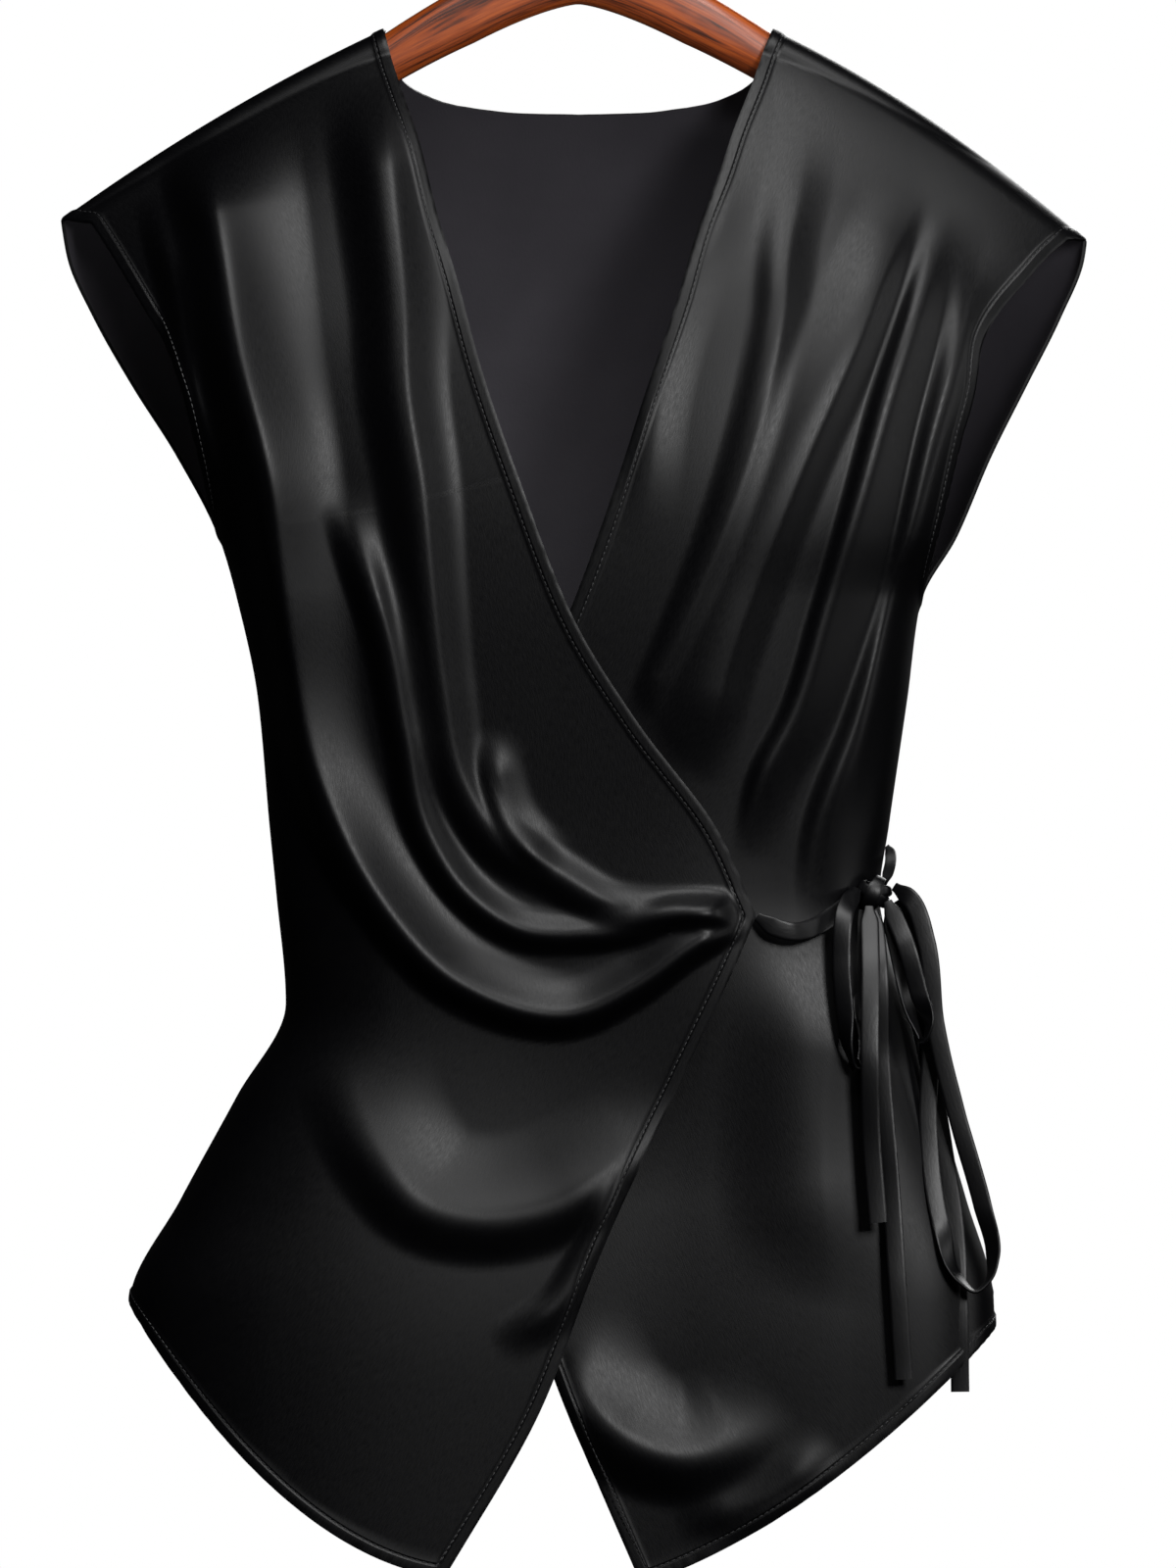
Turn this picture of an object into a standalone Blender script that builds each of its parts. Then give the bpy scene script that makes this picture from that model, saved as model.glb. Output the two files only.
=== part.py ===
"""Sleeveless satin wrap blouse hanging on a wooden coat hanger.

The blouse is cut in three panels, a back and two crossing fronts, each a wall of cloth that follows the
garment's hollow form, with narrow straps tied in a bow at the wearer's left side seam. Sizes in the tables are
millimetres: x to the viewer's right, z up from the inner top of the hook, and the front faces -y.
"""

import math
from collections import namedtuple

import bpy
import numpy as np

MM = 0.001

# Driving sizes, mm
WALL = 1.2
SEAM_GAP = 0.3
RIDGE_RADIUS = 11.0
FULL_DROP = 170.0
NECK_HALF = 84.0
NECK_Z = -106.0
NECK_EASE = 40.0
NECK_CROWDING = 1.7
FALL_SLOPE = 0.3
SECTION_POWER = 2.3
ROLL_POWER = 4.0
LIFT_FADE = 0.35
STRAP_WIDTH = 8.0
STRAP_THICK = 1.3
KNOT_CENTRE = (127.0, -38.2, -479.0)
KNOT_HALF = (8.5, 6.5, 7.0)
HOOK_RADIUS = 18.0
WIRE_RADIUS = 1.8
HANGER_END = 190.0
FORM_MIDDLE = -450.0

Shoulder = namedtuple("Shoulder", "tip_x tip_z crown")
# Each shoulder's ridge runs from the neck point to its tip and bows up by its crown
LEFT_SHOULDER = Shoulder(-223.0, -188.0, 4.5)
RIGHT_SHOULDER = Shoulder(219.0, -197.0, 7.0)

Section = namedtuple("Section", "z left right front back")
# The hollow form, level by level: side outlines and the depth in front of and behind the side seams
SECTIONS = (
    Section(-188, -223, 220, 70, 64),
    Section(-205, -220, 218, 72, 66),
    Section(-230, -209, 208, 74, 68),
    Section(-260, -192, 193, 76, 70),
    Section(-290, -173, 178, 78, 70),
    Section(-325, -155, 163, 78, 69),
    Section(-352, -147, 148, 76, 67),
    Section(-395, -138, 142, 72, 63),
    Section(-450, -133, 134, 67, 58),
    Section(-480, -130, 130, 65, 56),
    Section(-526, -126, 144, 66, 57),
    Section(-566, -147, 154, 70, 62),
    Section(-610, -171, 167, 75, 67),
    Section(-654, -193, 179, 80, 72),
    Section(-780, -196, 182, 82, 74),
)

Station = namedtuple("Station", "side_x side_z edge_x edge_z corner")
# The front that lies over: its side edge and its free edge at matching levels
OVER_STATIONS = (
    Station(-223, -188, -84, -106, False),
    Station(-210, -190, -80, -121, True),
    Station(-199, -207, -75, -136, False),
    Station(-185, -230, -68, -157, False),
    Station(-176, -245, -60, -189, False),
    Station(-170, -262, -52, -215, False),
    Station(-164, -285, -42, -252, False),
    Station(-155, -325, -25, -302, False),
    Station(-142, -367, 0, -365, False),
    Station(-136, -407, 25, -405, False),
    Station(-132, -461, 58, -449, False),
    Station(-126, -526, 76, -488, True),
    Station(-134, -543, 69, -505, False),
    Station(-147, -566, 46, -554, False),
    Station(-168, -604, 10, -631, False),
    Station(-185, -635, -18, -703, False),
    Station(-193, -654, -57, -770, False),
)
# The front that lies under, from its side edge to the free edge that is mostly covered
UNDER_STATIONS = (
    Station(219, -197, 84, -106, False),
    Station(211, -197, 80, -115, True),
    Station(204, -203, 76, -127, False),
    Station(193, -215, 67, -150, False),
    Station(181, -229, 60, -171, False),
    Station(174, -241, 52, -192, False),
    Station(170, -264, 42, -226, False),
    Station(164, -285, 29, -264, False),
    Station(158, -310, 19, -295, False),
    Station(148, -352, -2, -354, False),
    Station(143, -390, -21, -398, False),
    Station(137, -423, -46, -442, False),
    Station(130, -476, -79, -488, True),
    Station(141, -516, -67, -524, False),
    Station(153, -562, -48, -579, False),
    Station(166, -606, -27, -642, False),
    Station(177, -644, -5, -699, False),
    Station(180, -665, 27, -774, False),
)

Fold = namedtuple("Fold", "path height upper lower")
# Largest folds of the over panel: the ridge's path, how far it stands out, and its half widths above and below it
OVER_FOLDS = (
    Fold(((-170, -194), (-159, -252), (-149, -305), (-141, -356)), 3.5, 9, 11),
    Fold(((-136, -169), (-124, -262), (-115, -340), (-106, -411)), 5.5, 13, 17),
    Fold(((-106, -411), (-94, -452), (-56, -507), (-5, -526), (30, -512), (71, -487)), 9.0, 20, 10),
    Fold(((-101, -274), (-82, -325), (-66, -375), (-60, -428)), 5.0, 13, 18),
    Fold(((-60, -428), (-43, -466), (-9, -489), (30, -491), (71, -487)), 7.5, 16, 9),
    Fold(((-59, -285), (-48, -348), (-50, -400), (-26, -441), (11, -477), (62, -487)), 6.0, 14, 12),
    Fold(((-105, -546), (-75, -593), (-26, -606), (20, -591), (41, -559)), 5.0, 18, 22),
)
UNDER_FOLDS = (
    Fold(((78, -121), (54, -191), (33, -261), (10, -331)), 3.0, 9, 9),
    Fold(((118, -138), (103, -190), (95, -247), (71, -306), (37, -387)), 5.0, 13, 13),
    Fold(((151, -176), (122, -251), (103, -306), (82, -358), (58, -424)), 5.5, 13, 14),
    Fold(((164, -184), (143, -264), (118, -337), (95, -405), (72, -468)), 5.5, 12, 12),
    Fold(((176, -201), (158, -270), (143, -340), (122, -432), (112, -466)), 4.0, 10, 10),
    Fold(((105, -543), (103, -575), (98, -617)), 4.5, 12, 12),
    Fold(((-2, -665), (8, -690), (46, -716), (90, -672), (123, -617)), 6.0, 18, 16),
)

Front = namedtuple("Front", "stations folds outline armpit_z hem_drop lift rows columns")
OVER = Front(OVER_STATIONS, OVER_FOLDS, "left", -324.0, 24.0, 4.0, 44, 36)
UNDER = Front(UNDER_STATIONS, UNDER_FOLDS, "right", -351.0, 14.0, -5.0, 34, 26)
Back = namedtuple("Back", "rows shoulder_columns neck_columns hem_drop")
BACK = Back(28, 8, 7, 26.0)
NeckPoint = namedtuple("NeckPoint", "out z")
# Half of the back's neckline, from the neck point of the shoulder to its middle
BACK_NECK = (
    NeckPoint(NECK_HALF, NECK_Z), NeckPoint(81, -118), NeckPoint(76, -127), NeckPoint(62, -135),
    NeckPoint(40, -139.5), NeckPoint(0, -141.5),
)

Strand = namedtuple("Strand", "x y z turn")
# Straps: a row for each bend of a strap, with how far it is turned edge-on there
STRAPS = {
    "tie_lead": (
        Strand(76.5, -62, -488.5, 0), Strand(84, -63, -493, 0), Strand(92, -62, -495, 0),
        Strand(101, -57, -493, 0), Strand(110, -49.5, -487.5, 0), Strand(118.5, -40.9, -481, 0),
    ),
    "tie_loop_left": (
        Strand(119.4, -43.6, -476.9, 0), Strand(114, -57, -487, 0), Strand(112.5, -61, -507, 10),
        Strand(114, -64, -530, 20), Strand(117, -64, -547, 70), Strand(119.3, -61, -552.5, 90),
        Strand(121, -57, -547, 70), Strand(121, -50, -525, 20), Strand(122, -38.5, -485.8, 0),
    ),
    "tie_end_short": (
        Strand(124.7, -43.1, -484.4, 0), Strand(125, -58, -510, 0), Strand(124.5, -68, -545, 0),
        Strand(125, -68, -579, 10), Strand(128, -71, -619, 0),
    ),
    "tie_end_long": (
        Strand(126.6, -41.7, -486.1, 0), Strand(128.5, -55, -510, 0), Strand(129.5, -56, -550, 0),
        Strand(133, -60, -596, 10), Strand(136, -66.5, -640, 0), Strand(139, -68, -686, 0),
    ),
    "tie_loop_big": (
        Strand(135.7, -41.3, -475.8, 10), Strand(143, -47, -482, 0), Strand(149, -50, -499, 0),
        Strand(153, -51, -535, 0), Strand(162, -52, -573, 0), Strand(173, -54, -612, 10),
        Strand(177.5, -56, -633, 45), Strand(176, -57, -645, 80), Strand(170, -57.5, -649, 90),
        Strand(163, -57, -643, 70), Strand(154, -53, -617, 10), Strand(150, -46, -580, 0),
        Strand(151, -42.5, -535, 0), Strand(146, -41, -497, 0), Strand(137, -38.5, -481.8, 0),
    ),
    "tie_loop_small": (
        Strand(132.6, -44.2, -482.3, 0), Strand(140, -56, -500, 0), Strand(146, -57.5, -522, 10),
        Strand(149.5, -59, -537, 70), Strand(147.5, -58, -542.5, 90), Strand(144.5, -55.5, -537, 70),
        Strand(139, -49, -512, 10), Strand(133.3, -41.9, -484.8, 0),
    ),
    "tie_end_side": (
        Strand(134.5, -36, -483.5, 0), Strand(141, -38, -510, 0), Strand(149, -39.5, -545, 0),
        Strand(157, -43, -590, 0), Strand(162, -47, -628, 0), Strand(163, -51.5, -655, 0),
        Strand(163.5, -52.5, -692, 0),
    ),
    "tie_seam_stub": (
        Strand(136.5, -6, -461, 90), Strand(138.5, -14, -463, 60), Strand(138, -24, -467, 20),
        Strand(132.8, -35, -474.4, 0),
    ),
}
RINGS_PER_BEND = 4
Bar = namedtuple("Bar", "out half_height half_depth")
# Section of the hanger's bar at distances out from its middle
HANGER_BAR = (Bar(0, 13.5, 8.2), Bar(45, 13.5, 8.0), Bar(84, 12.0, 7.4), Bar(HANGER_END, 8.0, 6.0))
HANGER_CROWN = 40.0
HANGER_CLEARANCE = 0.9


def curve_through(points, at, corners=()):
    """Cubic through the points at shares `at` of their summed length, bent sharply at the numbered corners."""
    points = np.asarray(points, float)
    key = np.append(0.0, np.cumsum(np.linalg.norm(np.diff(points, axis=0), axis=1)))
    key /= key[-1]
    step = np.diff(key)
    slope = np.diff(points, axis=0) / step[:, None]
    start, end = slope.copy(), slope.copy()
    for i in range(1, len(points) - 1):
        if i not in corners:
            share = step[i] / (step[i - 1] + step[i])
            start[i] = end[i - 1] = share * slope[i - 1] + (1 - share) * slope[i]
    at = np.asarray(at, float)
    i = np.clip(np.searchsorted(key, at, side="right") - 1, 0, len(step) - 1)
    t = ((at - key[i]) / step[i])[:, None]
    h = step[i][:, None]
    return (
        points[i] * (1 + 2 * t) * (1 - t) ** 2 + points[i + 1] * t * t * (3 - 2 * t)
        + h * (start[i] * t * (1 - t) ** 2 - end[i] * t * t * (1 - t))
    )


def levelled(z, column):
    """A column of SECTIONS at heights z, by a cubic that never overshoots its rows."""
    keys = -np.array([row.z for row in SECTIONS], float)
    values = np.array([getattr(row, column) for row in SECTIONS], float)
    slope = np.diff(values) / np.diff(keys)
    product = slope[:-1] * slope[1:]
    total = np.where(product > 0, slope[:-1] + slope[1:], 1.0)
    tangent = np.concatenate([slope[:1], np.where(product > 0, 2 * product / total, 0.0), slope[-1:]])
    at = np.clip(-np.asarray(z, float), keys[0], keys[-1])
    i = np.clip(np.searchsorted(keys, at, side="right") - 1, 0, len(slope) - 1)
    h = keys[i + 1] - keys[i]
    t = (at - keys[i]) / h
    return (
        values[i] * (1 + 2 * t) * (1 - t) ** 2 + values[i + 1] * t * t * (3 - 2 * t)
        + h * (tangent[i] * t * (1 - t) ** 2 - tangent[i + 1] * t * t * (1 - t))
    )


def smoothstep(t):
    t = np.clip(t, 0, 1)
    return t * t * (3 - 2 * t)


def ridge_z(x):
    """Height of the shoulder ridge, level across the neck and falling along each shoulder."""
    x = np.asarray(x, float)
    ridge = np.full(x.shape, NECK_Z)
    for shoulder in (LEFT_SHOULDER, RIGHT_SHOULDER):
        run = abs(shoulder.tip_x) - NECK_HALF
        share = np.clip((x * np.sign(shoulder.tip_x) - NECK_HALF) / run, 0, 1.2)
        rise = (shoulder.tip_z - NECK_Z) * share + 4 * shoulder.crown * share * np.clip(1 - share, 0, 1)
        ridge += rise
    return ridge


def across(x, z):
    """Where a point lies between the side outlines at its level: -1 at the left, 1 at the right."""
    left, right = levelled(z, "left"), levelled(z, "right")
    return np.clip((2 * x - left - right) / (right - left), -1, 1)


def depth(x, z, side):
    """Distance of the hollow form from the plane of the seams: a roll over the hanger that fills out below."""
    s = np.abs(across(x, z))
    drop = np.clip(ridge_z(x) - z, 0, None)
    roll = RIDGE_RADIUS * np.sqrt(1 - (1 - np.clip(drop / RIDGE_RADIUS, 0, 1)) ** 2)
    beyond = np.hypot(np.abs(x) - NECK_HALF, NECK_EASE) + np.abs(x) - NECK_HALF
    fall = np.clip(NECK_Z - FALL_SLOPE * beyond - z, 0, None)
    fill = 1 - (1 - np.clip(fall / FULL_DROP, 0, 1)) ** 2
    fill = fill * smoothstep(drop / (2 * RIDGE_RADIUS))
    blunt = (1 - s ** ROLL_POWER) ** (1 / ROLL_POWER)
    round_off = (1 - s ** SECTION_POWER) ** (1 / SECTION_POWER)
    return roll * blunt + (levelled(z, side) - RIDGE_RADIUS) * fill * round_off


def fold_relief(x, z, folds):
    """Sum of the folds' ridges at each point: a rounded profile across each path, faded out at its ends."""
    relief = np.zeros_like(x)
    for fold in folds:
        path = curve_through(fold.path, np.linspace(0, 1, 60))
        away = np.stack([x, z], -1)[..., None, :] - path
        nearest = np.argmin((away ** 2).sum(-1), -1)
        offset = np.take_along_axis(away, nearest[..., None, None], -2)[..., 0, :]
        tangent = np.gradient(path, axis=0)[nearest]
        tangent /= np.linalg.norm(tangent, axis=-1, keepdims=True)
        sideways = tangent[..., 0] * offset[..., 1] - tangent[..., 1] * offset[..., 0]
        width = np.where(sideways > 0, fold.upper, fold.lower)
        reach = np.clip(np.linalg.norm(offset, axis=-1) / width, 0, 1)
        along = nearest / 59.0
        fade = np.sin(np.pi * np.clip(along, 0.02, 0.98)) ** 0.5
        relief += fold.height * fade * 0.5 * (1 + np.cos(np.pi * reach))
    return relief


def patch(side, edge, top, bottom, rows, columns):
    """Grid of (x, z) between four boundary curves, blended so that every boundary is met."""
    v, u = rows[:, None, None], columns[None, :, None]
    side, edge = side[:, None, :], edge[:, None, :]
    top, bottom = top[None, :, :], bottom[None, :, :]
    flat = (1 - v) * ((1 - u) * side[:1] + u * edge[:1]) + v * ((1 - u) * side[-1:] + u * edge[-1:])
    return (1 - u) * side + u * edge + (1 - v) * top + v * bottom - flat


def bowed(start, end, share, rise):
    """A line from start to end that bows up by `rise` in its middle."""
    line = start + (end - start) * share[:, None]
    line[:, 1] += rise * 4 * share * (1 - share)
    return line


def rows_from_ridge(count):
    """Shares down a panel, close together where the cloth rolls over the hanger."""
    share = np.linspace(0, 1, count)
    return 2 * share ** 2 / (1 + share)


def front_grid(panel):
    """A front's (x, z) grid; below the armpit its side edge keeps to the form's own outline."""
    rows = rows_from_ridge(panel.rows)
    columns = 1 - np.cos(np.linspace(0, np.pi / 2, panel.columns))
    corners = [i for i, row in enumerate(panel.stations) if row.corner]
    both = curve_through([row[:4] for row in panel.stations], rows, corners)
    side, edge = both[:, :2], both[:, 2:]
    seam = side[:, 1] <= panel.armpit_z
    side[seam, 0] = levelled(side[seam, 1], panel.outline)
    top_x = side[0, 0] + (edge[0, 0] - side[0, 0]) * columns
    top = np.stack([top_x, ridge_z(top_x)], -1)
    side[0], edge[0] = top[0], top[-1]
    bottom = bowed(side[-1], edge[-1], columns, -panel.hem_drop)
    return patch(side, edge, top, bottom, rows, columns)


def back_top():
    """Top edge of the back from shoulder tip to shoulder tip: two ridges with the neckline's curve between them."""
    neck = curve_through(BACK_NECK, np.linspace(0, 1, BACK.neck_columns + 1) ** NECK_CROWDING)
    ease = 1 - np.cos(np.linspace(0, np.pi / 2, BACK.shoulder_columns + 1))[:-1]
    halves = []
    for tip in (LEFT_SHOULDER.tip_x, RIGHT_SHOULDER.tip_x):
        shoulder_x = tip + (math.copysign(NECK_HALF, tip) - tip) * ease
        x = np.concatenate([shoulder_x, math.copysign(1, tip) * neck[:, 0]])
        halves.append(np.stack([x, np.concatenate([ridge_z(shoulder_x), neck[:, 1]])], -1))
    return np.concatenate([halves[0][:-1], halves[1][::-1]])


def back_side(shoulder, outline):
    """Edge of the back from a shoulder's tip down its armhole and side seam, kept to the form's outline."""
    below = [(getattr(row, outline), row.z) for row in SECTIONS[1:-1] if row.z < shoulder.tip_z - 5]
    side = curve_through([(shoulder.tip_x, shoulder.tip_z)] + below, rows_from_ridge(BACK.rows))
    side[1:, 0] = levelled(side[1:, 1], outline)
    return side


def back_grid():
    top = back_top()
    left, right = back_side(LEFT_SHOULDER, "left"), back_side(RIGHT_SHOULDER, "right")
    share = 0.5 - 0.5 * np.cos(np.linspace(0, np.pi, len(top)))
    bottom = bowed(left[-1], right[-1], share, -BACK.hem_drop)
    return patch(left, right, top, bottom, rows_from_ridge(BACK.rows), share)


def fade_from_seams(x, z):
    """1 over the middle of the form, 0 at its side seams and at the shoulder ridge."""
    s = np.abs(across(x, z))
    return smoothstep((1 - s) / LIFT_FADE) * smoothstep((ridge_z(x) - z) / 60.0)


def wall_points(outer, seam):
    """The wall's other face: the points moved in along their normals, square to the plane of the seams at a seam."""
    normal = np.cross(np.gradient(outer, axis=0), np.gradient(outer, axis=1))
    outward = outer - (0.0, 0.0, FORM_MIDDLE)
    normal += 1e-4 * outward / np.linalg.norm(outward, axis=-1, keepdims=True)
    normal[seam, 1] = 0
    normal /= np.linalg.norm(normal, axis=-1, keepdims=True)
    return outer - WALL * normal


def material(name, colour, roughness, metallic=0.0):
    made = bpy.data.materials.new(name)
    made.use_nodes = True
    shader = made.node_tree.nodes["Principled BSDF"]
    shader.inputs["Base Color"].default_value = (*colour, 1)
    shader.inputs["Roughness"].default_value = roughness
    shader.inputs["Metallic"].default_value = metallic
    return made


def add_mesh(name, points, faces, finish):
    mesh = bpy.data.meshes.new(name)
    mesh.from_pydata(np.asarray(points, float) * MM, [], faces)
    mesh.shade_smooth()
    mesh.set_sharp_from_angle(angle=math.radians(40))
    mesh.materials.append(finish)
    made = bpy.data.objects.new(name, mesh)
    bpy.context.scene.collection.objects.link(made)
    return made


def closed_shell(outer, inner):
    """Points and faces of a wall between two grids of points, closed round its four edges."""
    rows, columns = outer.shape[:2]
    number = np.arange(rows * columns).reshape(rows, columns)
    a, b, c, d = number[:-1, :-1], number[1:, :-1], number[1:, 1:], number[:-1, 1:]
    front = np.stack([a, b, c, d], -1).reshape(-1, 4)
    back = front[:, ::-1] + rows * columns
    rim = np.concatenate([number[0, :-1], number[:-1, -1], number[-1, :0:-1], number[:0:-1, 0]])
    following = np.roll(rim, -1)
    strip = np.stack([rim, following, following + rows * columns, rim + rows * columns], -1)
    points = np.concatenate([outer.reshape(-1, 3), inner.reshape(-1, 3)])
    return points, np.concatenate([front, back, strip]).tolist()


def add_panel(name, flat, y, finish):
    """A panel's closed wall over its (x, z) grid; it meets the next panel where it lies in the seams' plane."""
    outer = np.stack([flat[..., 0], y, flat[..., 1]], -1)
    if (outer[0, -1, 0] < outer[0, 0, 0]) != (np.mean(y) > 0):
        outer = outer[:, ::-1]
    seam = np.abs(outer[..., 1]) <= SEAM_GAP / 2
    points, faces = closed_shell(outer, wall_points(outer, seam))
    return add_mesh(name, points, faces, finish)


def covered_share(x, z):
    """How far a point of the under panel lies behind the over panel's free edge, 0 to 1."""
    edge = np.array([(row.edge_x, -row.edge_z) for row in OVER_STATIONS], float)
    edge_x = np.interp(-z, edge[:, 1], edge[:, 0])
    return smoothstep((edge_x + 14 - x) / 22.0)


def add_front(name, panel, finish):
    flat = front_grid(panel)
    x, z = flat[..., 0], flat[..., 1]
    folds = fold_relief(x, z, panel.folds)
    if panel.lift < 0:
        folds = folds * (1 - 0.9 * covered_share(x, z))
    relief = (panel.lift + folds) * fade_from_seams(x, z)
    y = -np.maximum(depth(x, z, "front") + relief, SEAM_GAP / 2)
    return add_panel(name, flat, y, finish)


def add_back(finish):
    flat = back_grid()
    x, z = flat[..., 0], flat[..., 1]
    y = np.maximum(depth(x, z, "back"), SEAM_GAP / 2)
    return add_panel("back", flat, y, finish)


def strap_solid(name, route, turns, finish):
    """A flat strap with rings square to its route; a turn of 90 degrees shows its edge to the front."""
    route = np.asarray(route, float)
    key = np.append(0.0, np.cumsum(np.linalg.norm(np.diff(route, axis=0), axis=1)))
    rings = RINGS_PER_BEND * (len(route) - 1) + 1
    bend = np.linspace(0, len(route) - 1, rings)
    share = np.interp(bend, np.arange(len(route)), key / key[-1])
    centre = curve_through(route, share)
    turn = np.radians(np.interp(bend, np.arange(len(route)), turns))[:, None]
    tangent = np.gradient(centre, key[-1] * share, axis=0)
    tangent /= np.linalg.norm(tangent, axis=1, keepdims=True)
    face = np.array([0.0, -1.0, 0.0]) + tangent * tangent[:, 1:2]
    face /= np.linalg.norm(face, axis=1, keepdims=True)
    width = np.cross(tangent, face)
    face, width = face * np.cos(turn) + width * np.sin(turn), width * np.cos(turn) - face * np.sin(turn)
    from_end = np.minimum(share, 1 - share)[:, None] * key[-1] / STRAP_WIDTH
    half = STRAP_WIDTH / 2 * (0.5 + 0.5 * smoothstep(from_end))
    section = [centre + a * half * width + b * STRAP_THICK / 2 * face for a, b in ((-1, -1), (1, -1), (1, 1), (-1, 1))]
    faces = [[0, 1, 2, 3], [4 * rings - 1 - i for i in range(4)]]
    for ring in range(rings - 1):
        for side in range(4):
            a, b = 4 * ring + side, 4 * ring + (side + 1) % 4
            faces.append([a, a + 4, b + 4, b])
    return add_mesh(name, np.stack(section, 1).reshape(-1, 3), faces, finish)


def add_straps(finish):
    for name, strands in STRAPS.items():
        strap_solid(name, [row[:3] for row in strands], [row.turn for row in strands], finish)


def add_knot(finish):
    """The knot: a rounded block wrapped by the straps."""
    rings, sides = 9, 14
    points = []
    for ring in range(1, rings):
        polar = math.pi * ring / rings
        for side in range(sides):
            turn = 2 * math.pi * side / sides
            direction = (
                math.sin(polar) * math.cos(turn), math.sin(polar) * math.sin(turn), math.cos(polar),
            )
            points.append([c + h * d for c, h, d in zip(KNOT_CENTRE, KNOT_HALF, direction)])
    points += [[KNOT_CENTRE[0], KNOT_CENTRE[1], KNOT_CENTRE[2] + end * KNOT_HALF[2]] for end in (1, -1)]
    top, bottom = len(points) - 2, len(points) - 1
    faces = []
    for side in range(sides):
        after = (side + 1) % sides
        faces.append([top, side, after])
        faces.append([bottom, (rings - 2) * sides + after, (rings - 2) * sides + side])
        for ring in range(rings - 2):
            low, high = ring * sides, (ring + 1) * sides
            faces.append([low + side, high + side, high + after, low + after])
    return add_mesh("tie_knot", points, faces, finish)


def add_hanger(wood, steel):
    """A bent wooden bar with rounded section, and a wire hook let into its crown."""
    spans, sides = 36, 14
    x = np.linspace(-HANGER_END, HANGER_END, spans)
    out = np.abs(x)
    tall = np.interp(out, [row.out for row in HANGER_BAR], [row.half_height for row in HANGER_BAR])
    thick = np.interp(out, [row.out for row in HANGER_BAR], [row.half_depth for row in HANGER_BAR])
    arch = HANGER_CROWN * (1 - np.minimum(out / NECK_HALF, 1) ** 1.4)
    top = ridge_z(x) + arch - WALL - HANGER_CLEARANCE
    centre_z = top - tall
    angle = 2 * np.pi * np.arange(sides) / sides
    square = np.interp(out, (0, 60, NECK_HALF), (0.7, 0.75, 1.0))[:, None]
    across_y = np.sign(np.cos(angle)) * np.abs(np.cos(angle)) ** square
    up = np.sign(np.sin(angle)) * np.abs(np.sin(angle)) ** square
    points = np.stack(
        [
            np.repeat(x[:, None], sides, 1),
            thick[:, None] * across_y,
            centre_z[:, None] + tall[:, None] * up,
        ],
        -1,
    ).reshape(-1, 3)
    faces = [list(range(sides - 1, -1, -1)), [(spans - 1) * sides + i for i in range(sides)]]
    for ring in range(spans - 1):
        for side in range(sides):
            a, b = ring * sides + side, ring * sides + (side + 1) % sides
            faces.append([a, b, b + sides, a + sides])
    bar = add_mesh("hanger_bar", points, faces, wood)
    crown = float(np.max(top))
    hook_curve(crown, steel)
    drill(bar, crown)


def drill(bar, crown):
    """Blind hole for the hook's shank."""
    reach, radius = 14.0, WIRE_RADIUS + SEAM_GAP
    bpy.ops.mesh.primitive_cylinder_add(
        vertices=16, radius=radius * MM, depth=2 * reach * MM, location=(0, 0, crown * MM)
    )
    cutter = bpy.context.object
    cutter.name = "hook_bore_cutter"
    cutter.hide_render = True
    cutter.display_type = "WIRE"
    cut = bar.modifiers.new("hook_bore", "BOOLEAN")
    cut.operation = "DIFFERENCE"
    cut.object = cutter


def hook_curve(crown, steel):
    """Wire hook: a shank up from the crown, swung out into an arc round the origin's load line."""
    centre = -HOOK_RADIUS
    radius = HOOK_RADIUS + WIRE_RADIUS
    foot = crown + 4.0
    swing = [i / 12 for i in range(13)]
    points = [(0.0, crown - 13.0)]
    points += [(radius * t * t * (3 - 2 * t), foot + (centre - foot) * t) for t in swing[:-1]]
    points += [
        (radius * math.cos(math.radians(turn)), centre + radius * math.sin(math.radians(turn)))
        for turn in range(0, 221, 10)
    ]
    curve = bpy.data.curves.new("hanger_hook", "CURVE")
    curve.dimensions = "3D"
    curve.bevel_depth = WIRE_RADIUS * MM
    curve.bevel_resolution = 3
    curve.use_fill_caps = True
    spline = curve.splines.new("POLY")
    spline.points.add(len(points) - 1)
    for point, (x, z) in zip(spline.points, points):
        point.co = (x * MM, 0, z * MM, 1)
    curve.materials.append(steel)
    bpy.context.scene.collection.objects.link(bpy.data.objects.new("hanger_hook", curve))


def main():
    for old in list(bpy.data.objects):
        bpy.data.objects.remove(old)
    satin = material("black_satin", (0.012, 0.012, 0.014), 0.38)
    wood = material("varnished_wood", (0.35, 0.08, 0.015), 0.3)
    steel = material("hook_steel", (0.7, 0.7, 0.7), 0.25, 1.0)
    add_back(satin)
    add_front("front_over", OVER, satin)
    add_front("front_under", UNDER, satin)
    add_straps(satin)
    add_knot(satin)
    add_hanger(wood, steel)


main()
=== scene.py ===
"""Black satin wrap blouse with cap shoulders, hanging on a varnished wooden coat hanger.

The blouse has a back and two crossing fronts, each a thin shell of satin over the garment's hollow form, and
narrow straps tied in a bow at the wearer's left side seam. Sizes in the tables are millimetres: x to the
viewer's right, z up from the inner top of the hook, and the front faces -y.
"""

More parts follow.
